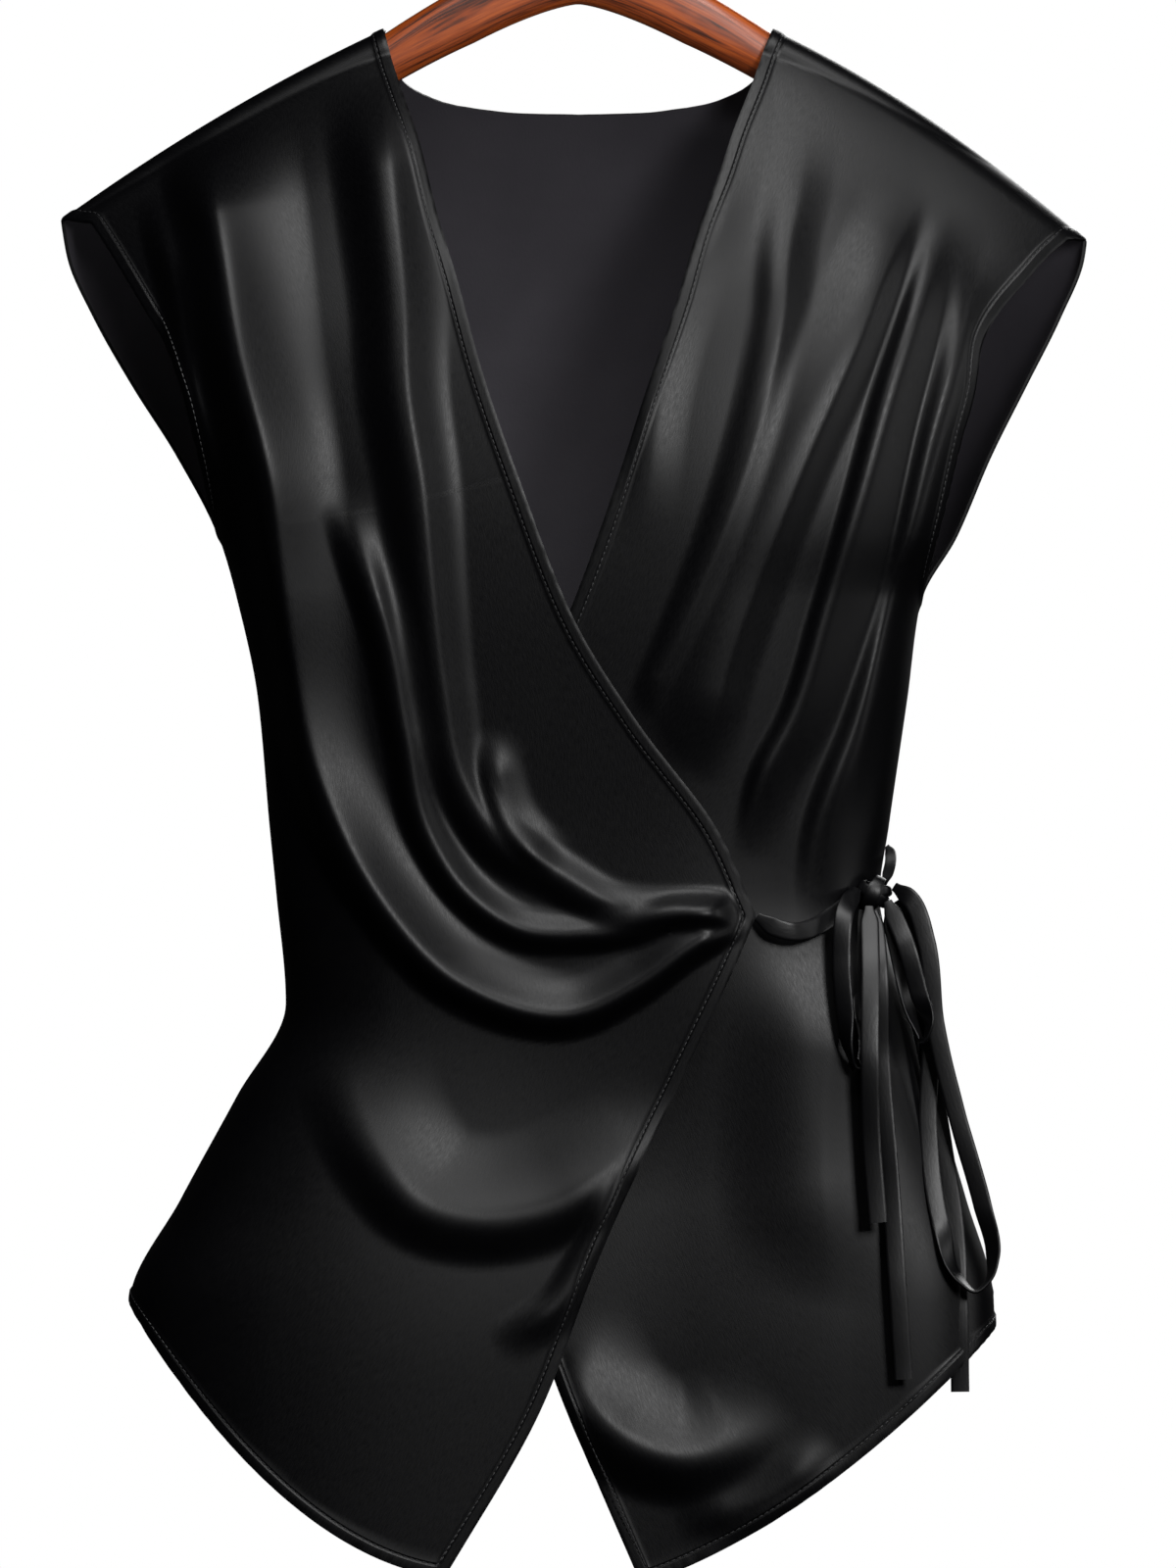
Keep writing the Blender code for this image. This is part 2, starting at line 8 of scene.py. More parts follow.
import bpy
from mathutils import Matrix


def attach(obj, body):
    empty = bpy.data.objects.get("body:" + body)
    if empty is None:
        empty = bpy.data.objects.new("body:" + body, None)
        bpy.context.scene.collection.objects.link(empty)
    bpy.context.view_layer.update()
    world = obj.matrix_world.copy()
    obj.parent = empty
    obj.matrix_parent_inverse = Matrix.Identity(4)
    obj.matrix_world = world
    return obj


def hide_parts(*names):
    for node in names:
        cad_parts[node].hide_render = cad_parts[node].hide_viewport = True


bl_info = {
    "name": "Satin wrap blouse",
    "version": (1, 0, 0),
    "blender": (4, 5, 0),
    "location": "3D View > Sidebar > Blouse",
    "description": "Builds a satin wrap blouse on a wooden hanger",
    "category": "Object",
}

import math
from collections import namedtuple

import bpy
import numpy as np

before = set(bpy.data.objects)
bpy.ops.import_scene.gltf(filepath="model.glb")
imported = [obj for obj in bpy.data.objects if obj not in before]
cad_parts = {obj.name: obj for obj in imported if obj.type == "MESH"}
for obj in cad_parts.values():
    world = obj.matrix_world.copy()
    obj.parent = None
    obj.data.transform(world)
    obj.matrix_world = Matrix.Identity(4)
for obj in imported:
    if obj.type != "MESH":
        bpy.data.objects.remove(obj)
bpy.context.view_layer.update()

MM = 0.001

# Driving sizes of the form, mm
RIDGE_RADIUS = 11.0
FULL_DROP = 230.0
NECK_HALF = 84.0
NECK_Z = -106.0
NECK_EASE = 40.0
FORM_MIDDLE = -450.0
HANGER_END = 190.0
HANGER_CROWN = 40.0
HANGER_CLEARANCE = 0.9
CAD_WALL = 1.2
SEAM_HALF = 0.15
# The form's depth at a level is the mean of its depths at these distances above and below, mm
DEPTH_BLEND = (-36.0, -24.0, -12.0, 0.0, 12.0, 24.0, 36.0)
# How steeply the cloth leaves the ridge beyond the neck, how fast the form fills out and how blunt it is
FALL_SLOPE = 0.3
FILL_POWER = 3
ROLL_POWER = 4.0
SECTION_POWER = 2.3
# Added to the section's power where the fronts hang flatter, what the right above the tie lacks of that,
# and the share of its depth that a front loses behind the straps
FLATTER = 2.4
ROUND_ABOVE_TIE = 0.75
FALL_BACK = 0.15
# A shoulder's ridge is carried on a little past its tip, to this share of its length
RIDGE_PAST_TIP = 1.2

Rise = namedtuple("Rise", "start run")
# Where a share grows from 0 to 1, mm: across the fronts or down from the hook, and inwards from an edge
RIGHT_BELOW_TIE = Rise(-120.0, 170.0)
DOWN_BELOW_TIE = Rise(480.0, 130.0)
RIGHT_ABOVE_TIE = Rise(-40.0, 120.0)
BEHIND_OVER = Rise(-14.0, 22.0)
HEM_INNER_SIDE = Rise(-1.0, 2.2)

Fade = namedtuple("Fade", "from_side from_ridge")
# Where relief fades in: shares of the half width in from a side seam, and mm down from the ridge
LIFT_FADE = Fade(0.35, 60.0)
FOLD_FADE = Fade(0.14, 22.0)
# Share of its folds that the under front loses where the over front covers it
COVERED_LOSS = 0.9

# Narrowest half width of a fold, the rounding of its crest and the spacing of the points on its path, mm
NARROWEST_FOLD = 6.5
CREST_ROUND = 2.5
PATH_STEP = 3.0
FEWEST_PATH_POINTS = 24
TIGHT_POWER = 1.6

# How closely a panel's grid is spaced at the ridge, at the side seams and beside the middle of the neckline
ROW_EASE = 0.12
SIDE_CROWDING = 0.45
NECK_CROWDING = 1.7
# First level of the outline that the back's side edge passes through, below the shoulder's tip, mm
BELOW_TIP = 5.0
# What counts as the neckline on the back's top edge beyond its half width, mm
NECK_SLACK = 0.1
# Share of the direction away from the form's middle that is mixed into every normal
LEAN_OUT = 1e-4
# Least step that a division by a distance takes, mm
TINY = 1e-6
# Points handled at a time, to keep memory small
BATCH = 4000

# Turned hems, mm: how far their fold rolls in, the share of their rise it loses, and the edge's point spacing
HEM_ROLL = 1.4
HEM_ROLL_SHARE = 0.7
EDGE_STEP = 1.5
# Angles past which a mesh is shaded sharp, degrees: of the cloth, and of what has a carried section
CLOTH_CREASE = 50
SECTION_CREASE = 60

Seam = namedtuple("Seam", "edge start stop")
# A row of stitches: the edge of the grid that it follows, and between which of the edge's points it runs
# How many grid points the stitches stay clear of a neck point, a shoulder's tip, a corner and the armpit
CLEAR_OF_RIDGE = 4
CLEAR_OF_TIP = 6
CLEAR_OF_CORNER = 3
CLEAR_OF_ARMPIT = 4
StitchRing = namedtuple("StitchRing", "along out")
# A stitch's rings, as shares of its half length and of the thread's half thickness
STITCH_RINGS = (StitchRing(-1.0, 0.35), StitchRing(-0.72, 1.0), StitchRing(0.72, 1.0), StitchRing(1.0, 0.35))
THREAD_SIDES = 6
# Half a stitch as a share of the pitch, and how many grid points in from an edge its place is looked for
HALF_STITCH = 0.36
STITCH_SEARCH = 40

Shoulder = namedtuple("Shoulder", "tip_x tip_z crown")
# Each shoulder's ridge runs from the neck point to its tip and bows up by its crown
LEFT_SHOULDER = Shoulder(-223.0, -188.0, 4.5)
RIGHT_SHOULDER = Shoulder(219.0, -197.0, 7.0)

Section = namedtuple("Section", "z left right front back")
# The hollow form, level by level: side outlines and the depth in front of and behind the side seams
SECTIONS = (
    Section(-188, -223, 220, 70, 64),
    Section(-205, -220, 218, 72, 66),
    Section(-230, -209, 208, 74, 68),
    Section(-260, -192, 193, 76, 70),
    Section(-290, -173, 178, 78, 70),
    Section(-325, -155, 163, 78, 69),
    Section(-352, -147, 148, 76, 67),
    Section(-395, -138, 142, 72, 63),
    Section(-450, -133, 134, 67, 58),
    Section(-480, -130, 130, 65, 56),
    Section(-526, -126, 144, 66, 57),
    Section(-566, -147, 154, 70, 62),
    Section(-610, -171, 167, 75, 67),
    Section(-654, -193, 179, 80, 72),
    Section(-780, -196, 182, 82, 74),
)

Station = namedtuple("Station", "side_x side_z edge_x edge_z corner")
# The front that lies over: its side edge and its free edge at matching levels
OVER_STATIONS = (
    Station(-223, -188, -84, -106, False),
    Station(-210, -190, -80, -121, True),
    Station(-199, -207, -75, -136, False),
    Station(-185, -230, -68, -157, False),
    Station(-176, -245, -60, -189, False),
    Station(-170, -262, -52, -215, False),
    Station(-164, -285, -42, -252, False),
    Station(-155, -325, -25, -302, False),
    Station(-142, -367, 0, -365, False),
    Station(-136, -407, 25, -405, False),
    Station(-132, -461, 58, -449, False),
    Station(-126, -526, 76, -488, True),
    Station(-134, -543, 69, -505, False),
    Station(-147, -566, 46, -554, False),
    Station(-168, -604, 10, -631, False),
    Station(-185, -635, -18, -703, False),
    Station(-193, -654, -57, -770, False),
)
# The front that lies under, from its side edge to the free edge that is mostly covered
UNDER_STATIONS = (
    Station(219, -197, 84, -106, False),
    Station(211, -197, 80, -115, True),
    Station(204, -203, 76, -127, False),
    Station(193, -215, 67, -150, False),
    Station(181, -229, 60, -171, False),
    Station(174, -241, 52, -192, False),
    Station(170, -264, 42, -226, False),
    Station(164, -285, 29, -264, False),
    Station(158, -310, 19, -295, False),
    Station(148, -352, -2, -354, False),
    Station(143, -390, -21, -398, False),
    Station(137, -423, -46, -442, False),
    Station(130, -476, -79, -488, True),
    Station(141, -516, -67, -524, False),
    Station(153, -562, -48, -579, False),
    Station(166, -606, -27, -642, False),
    Station(177, -644, -5, -699, False),
    Station(180, -665, 27, -774, False),
)
NeckPoint = namedtuple("NeckPoint", "out z")
# Half of the back's neckline, from the neck point of the shoulder to its middle
BACK_NECK = (
    NeckPoint(NECK_HALF, NECK_Z), NeckPoint(81, -118), NeckPoint(76, -127), NeckPoint(62, -135),
    NeckPoint(40, -139.5), NeckPoint(0, -141.5),
)

Fold = namedtuple("Fold", "height right left start end narrow path")
# Each path is a fold's crest. Height stands out from the panel, below zero for a trough. On a path that runs
# down, right and left are its widths on those sides; where it runs to the right they lie above and below it.
# Start and end are the shares of the path over which it fades in and out, and narrow is the share of its size
# left at its end.
OVER_FOLDS = (
    Fold(7.0, 13, 10, 0.2, 0.3, 1.0, (
        (-181, -176), (-175, -201), (-169, -222), (-164, -264), (-161, -285), (-156, -306), (-150, -327),
    )),
    Fold(23.0, 40, 21, 0.08, 0.04, 0.32, (
        (-163, -146), (-152, -205), (-146, -243), (-132, -306), (-127, -350), (-111, -432), (-88, -477),
        (-50, -517), (-2, -529.5), (25, -517), (46, -502), (71, -488),
    )),
    Fold(9.0, 14, 11, 0.2, 0.04, 0.5, (
        (-103, -302), (-94, -329), (-81.5, -369), (-73.5, -411), (-64, -453), (-47, -479), (-25, -493.5),
        (4, -495.5), (25, -493), (42, -486.5), (70, -486),
    )),
    Fold(11.0, 22, 26, 0.1, 0.04, 0.3, (
        (-86, -126), (-80, -180), (-75.5, -222), (-73.5, -264), (-67, -306), (-63, -348), (-58, -390),
        (-49, -432), (-35, -454), (-8, -470.5), (15, -483), (42, -485), (70, -484.5),
    )),
    Fold(3.5, 11, 7, 0.3, 0.3, 1.0, ((-36.5, -408), (-34, -432), (-28.5, -446.5), (-19, -458), (-6, -469))),
    Fold(8.5, 38, 22, 0.35, 0.3, 0.8, (
        (-103, -541), (-96, -568), (-84, -592), (-67, -610), (-42, -616.5), (-17, -613), (8.5, -600),
        (27, -585), (42, -564),
    )),
    Fold(3.5, 10, 8, 0.25, 0.3, 1.0, ((20, -600), (7, -628), (-10, -655), (-36, -672))),
)
UNDER_FOLDS = (
    Fold(1.8, 13, 10, 0.2, 0.3, 1.0, (
        (69, -152), (57.5, -199.5), (47, -222.6), (34, -269), (29, -304), (23, -331),
    )),
    Fold(5.0, 14, 16, 0.3, 0.08, 0.4, (
        (97, -143), (94.5, -176), (90, -199.5), (86.5, -234), (79, -269), (64, -316), (44.5, -363),
        (24.5, -406),
    )),
    Fold(5.0, 9, 22, 0.2, 0.15, 1.5, (
        (148, -176), (137, -199.5), (118, -246), (97, -293), (78.5, -339), (62, -386), (52, -432),
    )),
    Fold(6.5, 18, 9, 0.2, 0.15, 0.7, (
        (160, -180), (148, -222.6), (134.5, -264.6), (121.5, -311), (107.5, -358), (92.5, -405), (80.5, -428),
        (72, -465),
    )),
    Fold(5.5, 16, 9, 0.2, 0.25, 1.0, (
        (169, -199.5), (167, -227), (153, -288), (139, -351), (122.5, -405), (104, -456), (101.5, -499),
    )),
    Fold(4.0, 40, 44, 0.3, 0.35, 1.0, (
        (112, -500), (107, -540), (104, -570), (104, -600), (105, -625), (100, -655),
    )),
    Fold(9.5, 33, 20, 0.4, 0.5, 1.0, (
        (-12, -660), (-4, -678), (8, -700), (25, -714), (44, -719), (66, -712), (88, -694),
    )),
    Fold(3.5, 9, 9, 0.3, 0.3, 1.0, ((130, -495), (132, -541), (130, -560))),
    Fold(2.5, 12, 12, 0.3, 0.3, 1.0, ((40, -745), (75, -738), (110, -712))),
)
# Folds of the back hang more loosely; its first one turns the inside away from the light below the right
# of the neckline
BACK_FOLDS = (
    Fold(-9.0, 40, 52, 0.1, 0.4, 1.0, ((84, -130), (74, -190), (58, -250), (38, -320), (20, -380))),
    Fold(4.0, 15, 15, 0.3, 0.4, 1.0, ((-128, -180), (-112, -260), (-92, -350))),
    Fold(4.5, 16, 14, 0.3, 0.4, 1.0, ((126, -185), (112, -262), (96, -345))),
    Fold(3.5, 14, 13, 0.35, 0.45, 1.0, ((-70, -210), (-60, -300), (-50, -395))),
    Fold(-3.5, 16, 14, 0.3, 0.4, 1.0, ((-100, -200), (-86, -290), (-76, -380))),
    Fold(-3.5, 15, 16, 0.3, 0.4, 1.0, ((98, -205), (86, -290), (74, -370))),
    Fold(3.5, 18, 26, 0.3, 0.4, 1.0, ((-112, -418), (-70, -462), (-16, -480), (34, -476))),
    Fold(-2.5, 18, 20, 0.35, 0.4, 1.0, ((112, -432), (74, -486), (20, -522), (-30, -530))),
    Fold(3.0, 24, 30, 0.35, 0.4, 1.0, ((-122, -575), (-84, -618), (-38, -640), (4, -642))),
    Fold(4.0, 20, 24, 0.35, 0.4, 1.0, ((132, -540), (118, -600), (88, -655), (50, -690))),
    Fold(3.0, 22, 18, 0.35, 0.4, 1.0, ((-38, -560), (-46, -620), (-58, -690))),
)

Front = namedtuple("Front", "stations folds outline armpit_z hem_drop lift rows columns")
OVER = Front(OVER_STATIONS, OVER_FOLDS, "left", -324.0, 24.0, 4.0, 310, 148)
UNDER = Front(UNDER_STATIONS, UNDER_FOLDS, "right", -351.0, 14.0, -5.0, 300, 148)
Back = namedtuple("Back", "rows shoulder_columns neck_columns hem_drop")
BACK = Back(190, 70, 52, 26.0)

Strand = namedtuple("Strand", "x y z turn")
# Straps: a row for each bend of a strap, with how far it is turned edge-on there
STRAPS = {
    "tie_lead": (
        Strand(76.5, -62, -488.5, 0), Strand(84, -63, -493, 0), Strand(92, -62, -495, 0),
        Strand(101, -57, -493, 0), Strand(110, -49.5, -487.5, 0), Strand(118.5, -40.9, -481, 0),
    ),
    "tie_loop_left": (
        Strand(119.4, -43.6, -476.9, 0), Strand(114, -57, -487, 0), Strand(112.5, -61, -507, 10),
        Strand(114, -64.5, -530, 20), Strand(115.5, -64.5, -546, 70), Strand(118.3, -61.5, -552.5, 90),
        Strand(121, -57.5, -546, 70), Strand(121, -50, -525, 20), Strand(122, -38.5, -485.8, 0),
    ),
    "tie_end_short": (
        Strand(124.7, -43.1, -484.4, 0), Strand(125, -58, -510, 0), Strand(124.5, -68, -545, 0),
        Strand(125, -68, -579, 10), Strand(128, -71, -619, 0),
    ),
    "tie_end_long": (
        Strand(126.6, -41.7, -486.1, 0), Strand(128.5, -55, -510, 0), Strand(129.5, -56, -550, 0),
        Strand(133, -60, -596, 10), Strand(136, -66.5, -640, 0), Strand(139, -68, -686, 0),
    ),
    "tie_loop_big": (
        Strand(135.7, -41.3, -475.8, 10), Strand(143, -47, -482, 0), Strand(149, -50, -499, 0),
        Strand(153, -51, -535, 0), Strand(162, -52, -573, 0), Strand(173, -54, -612, 10),
        Strand(177.5, -56, -633, 45), Strand(175.5, -57, -644, 80), Strand(170, -57.5, -649, 90),
        Strand(163.5, -57, -644, 70), Strand(155, -53, -619, 10), Strand(150, -46, -580, 0),
        Strand(151, -42.5, -535, 0), Strand(146, -41, -497, 0), Strand(137, -38.5, -481.8, 0),
    ),
    "tie_loop_small": (
        Strand(132.6, -44.2, -482.3, 0), Strand(140, -56, -500, 0), Strand(146, -57.5, -522, 10),
        Strand(150, -59.5, -535, 70), Strand(147.5, -58, -542, 90), Strand(144, -55, -535, 70),
        Strand(139, -49, -512, 10), Strand(133.3, -41.9, -484.8, 0),
    ),
    "tie_end_side": (
        Strand(134.5, -36, -483.5, 0), Strand(141, -38, -510, 0), Strand(149, -39.5, -545, 0),
        Strand(157, -43, -590, 0), Strand(162, -47, -628, 0), Strand(163, -51.5, -655, 0),
        Strand(163.5, -52.5, -692, 0),
    ),
    "tie_seam_stub": (
        Strand(133.5, -5, -459, 20), Strand(134.5, -14, -462, 15), Strand(134, -25, -467, 5),
        Strand(131.5, -35, -474.4, 0),
    ),
}
Facts = namedtuple("Facts", "far_end lay")
# What each strap's far end is and how it lies
STRAP_FACTS = {
    "tie_lead": Facts("knot", "loose"),
    "tie_loop_left": Facts("object", "hanging"),
    "tie_end_short": Facts("bare", "hanging"),
    "tie_end_long": Facts("bare", "hanging"),
    "tie_loop_big": Facts("object", "hanging"),
    "tie_loop_small": Facts("object", "hanging"),
    "tie_end_side": Facts("bare", "hanging"),
}
Wrap = namedtuple("Wrap", "lean half_long half_deep half_width")
# Turns of strap round the knot: each ring's lean from upright in degrees, its half sizes and its half width
KNOT_WRAPS = (Wrap(24, 7.4, 6.4, 2.9), Wrap(-52, 7.0, 5.8, 2.5), Wrap(78, 7.0, 5.2, 2.3))
KNOT_CENTRE = (127.0, -38.2, -479.0)
KNOT_CORE = (6.4, 4.9, 5.4)
# Share of its width that the short strap at the side seam keeps where it is gathered
STUB_PINCH = 0.6

Bar = namedtuple("Bar", "out half_height half_depth")
# Section of the hanger's bar at distances out from its middle
HANGER_BAR = (Bar(0, 13.5, 8.2), Bar(45, 13.5, 8.0), Bar(84, 12.0, 7.4), Bar(HANGER_END, 8.0, 6.0))

Blunting = namedtuple("Blunting", "out power")
# How square the bar's section is at distances out from its middle: 1 is round
BAR_BLUNTING = (Blunting(0, 0.7), Blunting(60, 0.75), Blunting(NECK_HALF, 1.0))
ARCH_POWER = 1.4
HANGER_SPANS = 180
HANGER_SIDES = 48
# Radius on which the wood's grain is rolled out, mm
GRAIN_RADIUS = 10.5

# Straps: spacing of their rings, mm, and the power and sides of their section
STRAP_STEP = 1.6
FEWEST_STRAP_RINGS = 16
STRAP_SQUARE = 0.45
STRAP_SIDES = 14
# Share of its width left where a strap is pulled into the knot, and its girth in widths
PULLED_IN = 0.5
WIDTHS_ROUND = 2.4
Ripple = namedtuple("Ripple", "height length turn")
# Uneven thickness along a strap: shares of the thickness, lengths in mm for a turn of one radian, and offsets
STRAP_RIPPLES = (Ripple(0.05, 9.0, 0.0), Ripple(0.03, 3.7, 1.0))
WIDTH_RIPPLE = 0.2
# Knot: rings and sides of its core and of a wrap, then a wrap's slant and half thickness in mm, how much it
# narrows where it turns back, and the power of its section
KNOT_RINGS = 14
KNOT_SIDES = 24
WRAP_RINGS = 44
WRAP_SIDES = 12
WRAP_SLANT = 0.8
WRAP_HALF_THICK = 0.75
WRAP_PINCH = 0.18
WRAP_SQUARE = 0.6
# Share of the depth in the knot's pattern, so that the weave doesn't smear on its sides
DEPTH_IN_PATTERN = 0.4

# Camera, metres: its place across and up from the hook, and the depth at which the picture height is measured
CAMERA_X = 0.0042
CAMERA_Z = -0.4318
SUBJECT_Y = -0.045
FARTHEST_SEEN = 50.0
# Height of the camera's sensor and half the floor's side, mm
SENSOR_HEIGHT = 24.0
FLOOR_HALF = 6000.0

Light = namedtuple("Light", "place size")
# Rectangular lights, metres: where each stands, and how wide and high it is
LIGHTS = {
    "key": Light((0.85, -1.85, 0.2), (0.45, 0.6)),
    "top": Light((0.2, -1.2, 1.35), (1.4, 1.1)),
    "side": Light((1.85, -0.45, -0.1), (0.5, 1.4)),
    "back": Light((0.7, 2.0, 0.5), (1.3, 1.3)),
}
LIGHTS_AIM = (0.0, 0.0, -0.42)


# Curves and the hollow form

def lengths_along(line):
    """Distance of each point of a line from its first one, measured along the line."""
    return np.append(0.0, np.cumsum(np.linalg.norm(np.diff(line, axis=0), axis=1)))


def points_at(line, key, at):
    """Points of a line through space at distances `at` along it; its own points lie at distances `key`."""
    return np.stack([np.interp(at, key, line[:, axis]) for axis in range(3)], -1)


def unit(vectors):
    return vectors / np.linalg.norm(vectors, axis=-1, keepdims=True)


def blunted(wave, power):
    """A sine or cosine raised to a power with its sign kept; a power below 1 makes a section squarer."""
    return np.sign(wave) * np.abs(wave) ** power


def cubic(values, start, end, i, t, step):
    """Cubic from value i to the next, at the share t of its step, with the slopes start and end there."""
    return (
        values[i] * (1 + 2 * t) * (1 - t) ** 2 + values[i + 1] * t * t * (3 - 2 * t)
        + step * (start[i] * t * (1 - t) ** 2 - end[i] * t * t * (1 - t))
    )


def curve_through(points, at, corners=()):
    """Cubic through the points at shares `at` of their summed length, sharp at the numbered corners."""
    points = np.asarray(points, float)
    key = lengths_along(points)
    key /= key[-1]
    step = np.diff(key)
    slope = np.diff(points, axis=0) / step[:, None]
    start, end = slope.copy(), slope.copy()
    for i in range(1, len(points) - 1):
        if i not in corners:
            share = step[i] / (step[i - 1] + step[i])
            start[i] = end[i - 1] = share * slope[i - 1] + (1 - share) * slope[i]
    i = np.clip(np.searchsorted(key, at, side="right") - 1, 0, len(step) - 1)
    t = ((at - key[i]) / step[i])[:, None]
    return cubic(points, start, end, i, t, step[i][:, None])


def levelled(z, column):
    """A column of SECTIONS at heights z, by a cubic that never overshoots its rows."""
    keys = -np.array([row.z for row in SECTIONS], float)
    values = np.array([getattr(row, column) for row in SECTIONS], float)
    slope = np.diff(values) / np.diff(keys)
    product = slope[:-1] * slope[1:]
    total = np.where(product > 0, slope[:-1] + slope[1:], 1.0)
    tangent = np.concatenate([slope[:1], np.where(product > 0, 2 * product / total, 0.0), slope[-1:]])
    at = np.clip(-np.asarray(z, float), keys[0], keys[-1])
    i = np.clip(np.searchsorted(keys, at, side="right") - 1, 0, len(slope) - 1)
    step = keys[i + 1] - keys[i]
    return cubic(values, tangent[:-1], tangent[1:], i, (at - keys[i]) / step, step)


def smoothstep(t):
    t = np.clip(t, 0, 1)
    return t * t * (3 - 2 * t)


def risen(place, rise):
    return smoothstep((place - rise.start) / rise.run)


def ridge_z(x):
    """Height of the shoulder ridge, level across the neck and falling along each shoulder."""
    x = np.asarray(x, float)
    ridge = np.full(x.shape, NECK_Z)
    for shoulder in (LEFT_SHOULDER, RIGHT_SHOULDER):
        run = abs(shoulder.tip_x) - NECK_HALF
        share = np.clip((x * np.sign(shoulder.tip_x) - NECK_HALF) / run, 0, RIDGE_PAST_TIP)
        ridge += (shoulder.tip_z - NECK_Z) * share + 4 * shoulder.crown * share * np.clip(1 - share, 0, 1)
    return ridge


def across(x, z):
    """Where a point lies between the side outlines at its level: -1 at the left, 1 at the right."""
    left, right = levelled(z, "left"), levelled(z, "right")
    return np.clip((2 * x - left - right) / (right - left), -1, 1)


def below_tie(x, z):
    """1 on the right of the fronts below the tie, where the cloth falls behind the straps; 0 elsewhere."""
    return risen(x, RIGHT_BELOW_TIE) * risen(-z, DOWN_BELOW_TIE)


def flatter_share(x, z):
    """How much flatter the fronts hang than the plain form: fully, but for the right side above the tie."""
    return 1 - ROUND_ABOVE_TIE * risen(x, RIGHT_ABOVE_TIE) * (1 - below_tie(x, z))


def depth(x, z, side):
    """Distance of the hollow form from the seams' plane: a roll over the hanger that fills out below."""
    s = np.abs(across(x, z))
    drop = np.clip(ridge_z(x) - z, 0, None)
    roll = RIDGE_RADIUS * np.sqrt(1 - (1 - np.clip(drop / RIDGE_RADIUS, 0, 1)) ** 2)
    beyond = np.hypot(np.abs(x) - NECK_HALF, NECK_EASE) + np.abs(x) - NECK_HALF
    fall = np.clip(NECK_Z - FALL_SLOPE * beyond - z, 0, None)
    fill = 1 - (1 - np.clip(fall / FULL_DROP, 0, 1)) ** FILL_POWER
    blunt = (1 - s ** ROLL_POWER) ** (1 / ROLL_POWER)
    power = SECTION_POWER + (FLATTER * flatter_share(x, z) if side == "front" else 0)
    round_off = (1 - s ** power) ** (1 / power)
    full = np.mean([levelled(z + offset, side) for offset in DEPTH_BLEND], 0)
    if side == "front":
        full = full * (1 - FALL_BACK * below_tie(x, z))
    return roll * blunt + (full - RIDGE_RADIUS) * fill * round_off


def faded_in(x, z, fade):
    """1 over the middle of the form, 0 at its side seams and at the shoulder ridge."""
    s = np.abs(across(x, z))
    return smoothstep((1 - s) / fade.from_side) * smoothstep((ridge_z(x) - z) / fade.from_ridge)


def covered_share(x, z):
    """How far a point of the under front lies behind the over front's free edge, 0 to 1."""
    edge = np.array([(row.edge_x, -row.edge_z) for row in OVER_STATIONS], float)
    return risen(np.interp(-z, edge[:, 1], edge[:, 0]) - x, BEHIND_OVER)


# Folds

def nearest_on(path, x, z):
    """Nearest place on a finely divided path: its share of the path, the distance across and any overrun."""
    away = np.stack([x, z], -1)[:, None, :] - path
    nearest = np.argmin((away ** 2).sum(-1), -1)
    offset = np.take_along_axis(away, nearest[:, None, None], 1)[:, 0]
    tangent = unit(np.gradient(path, axis=0)[nearest])
    sideways = tangent[:, 0] * offset[:, 1] - tangent[:, 1] * offset[:, 0]
    ahead = (tangent * offset).sum(-1)
    last = len(path) - 1
    at_start, at_end = nearest == 0, nearest == last
    overrun = np.where(at_start, np.clip(-ahead, 0, None), np.where(at_end, np.clip(ahead, 0, None), 0))
    along = (nearest + np.where(at_start | at_end, 0, ahead / PATH_STEP)) / last
    return np.clip(along, 0, 1), sideways, overrun


def fold_relief(x, z, folds):
    """Sum of the folds, each pulled tight on one side of its crest and rounded on the other.

    With c = 1 - (distance from the crest) / width, the tight side falls as c^p, the rounded one as a cosine.
    """
    relief = np.zeros_like(x)
    for fold in folds:
        steps = max(FEWEST_PATH_POINTS, int(lengths_along(fold.path)[-1] / PATH_STEP))
        path = curve_through(fold.path, np.linspace(0, 1, steps))
        margin = max(fold.right, fold.left) * max(fold.narrow, 1)
        low, high = path.min(0) - margin, path.max(0) + margin
        near = (x > low[0]) & (x < high[0]) & (z > low[1]) & (z < high[1])
        along, sideways, overrun = nearest_on(path, x[near], z[near])
        size = 1 - (1 - fold.narrow) * along
        width = np.maximum(np.where(sideways > 0, fold.right, fold.left) * size, NARROWEST_FOLD)
        rounded = np.hypot(np.hypot(sideways, overrun), CREST_ROUND) - CREST_ROUND
        share = np.clip(1 - rounded / width, 0, 1)
        profile = np.where(sideways > 0, share ** TIGHT_POWER, 0.5 - 0.5 * np.cos(np.pi * share))
        fade = smoothstep(along / fold.start) * smoothstep((1 - along) / fold.end)
        relief[near] += fold.height * np.minimum(size, 1) * fade * profile
    return relief


# Panels

def patch(side, edge, top, bottom, rows, columns):
    """Grid of (x, z) between four boundary curves, blended so that every boundary is met (a Coons patch)."""
    v, u = rows[:, None, None], columns[None, :, None]
    side, edge = side[:, None, :], edge[:, None, :]
    top, bottom = top[None, :, :], bottom[None, :, :]
    flat = (1 - v) * ((1 - u) * side[:1] + u * edge[:1]) + v * ((1 - u) * side[-1:] + u * edge[-1:])
    return (1 - u) * side + u * edge + (1 - v) * top + v * bottom - flat


def bowed(start, end, share, rise):
    """A line from start to end that bows up by `rise` in its middle."""
    line = start + (end - start) * share[:, None]
    line[:, 1] += rise * 4 * share * (1 - share)
    return line


def rows_from_ridge(count):
    """Shares down a panel, close together where the cloth rolls over the hanger: s^2 (1 + e) / (s + e)."""
    share = np.linspace(0, 1, count)
    return share ** 2 * (1 + ROW_EASE) / (share + ROW_EASE)


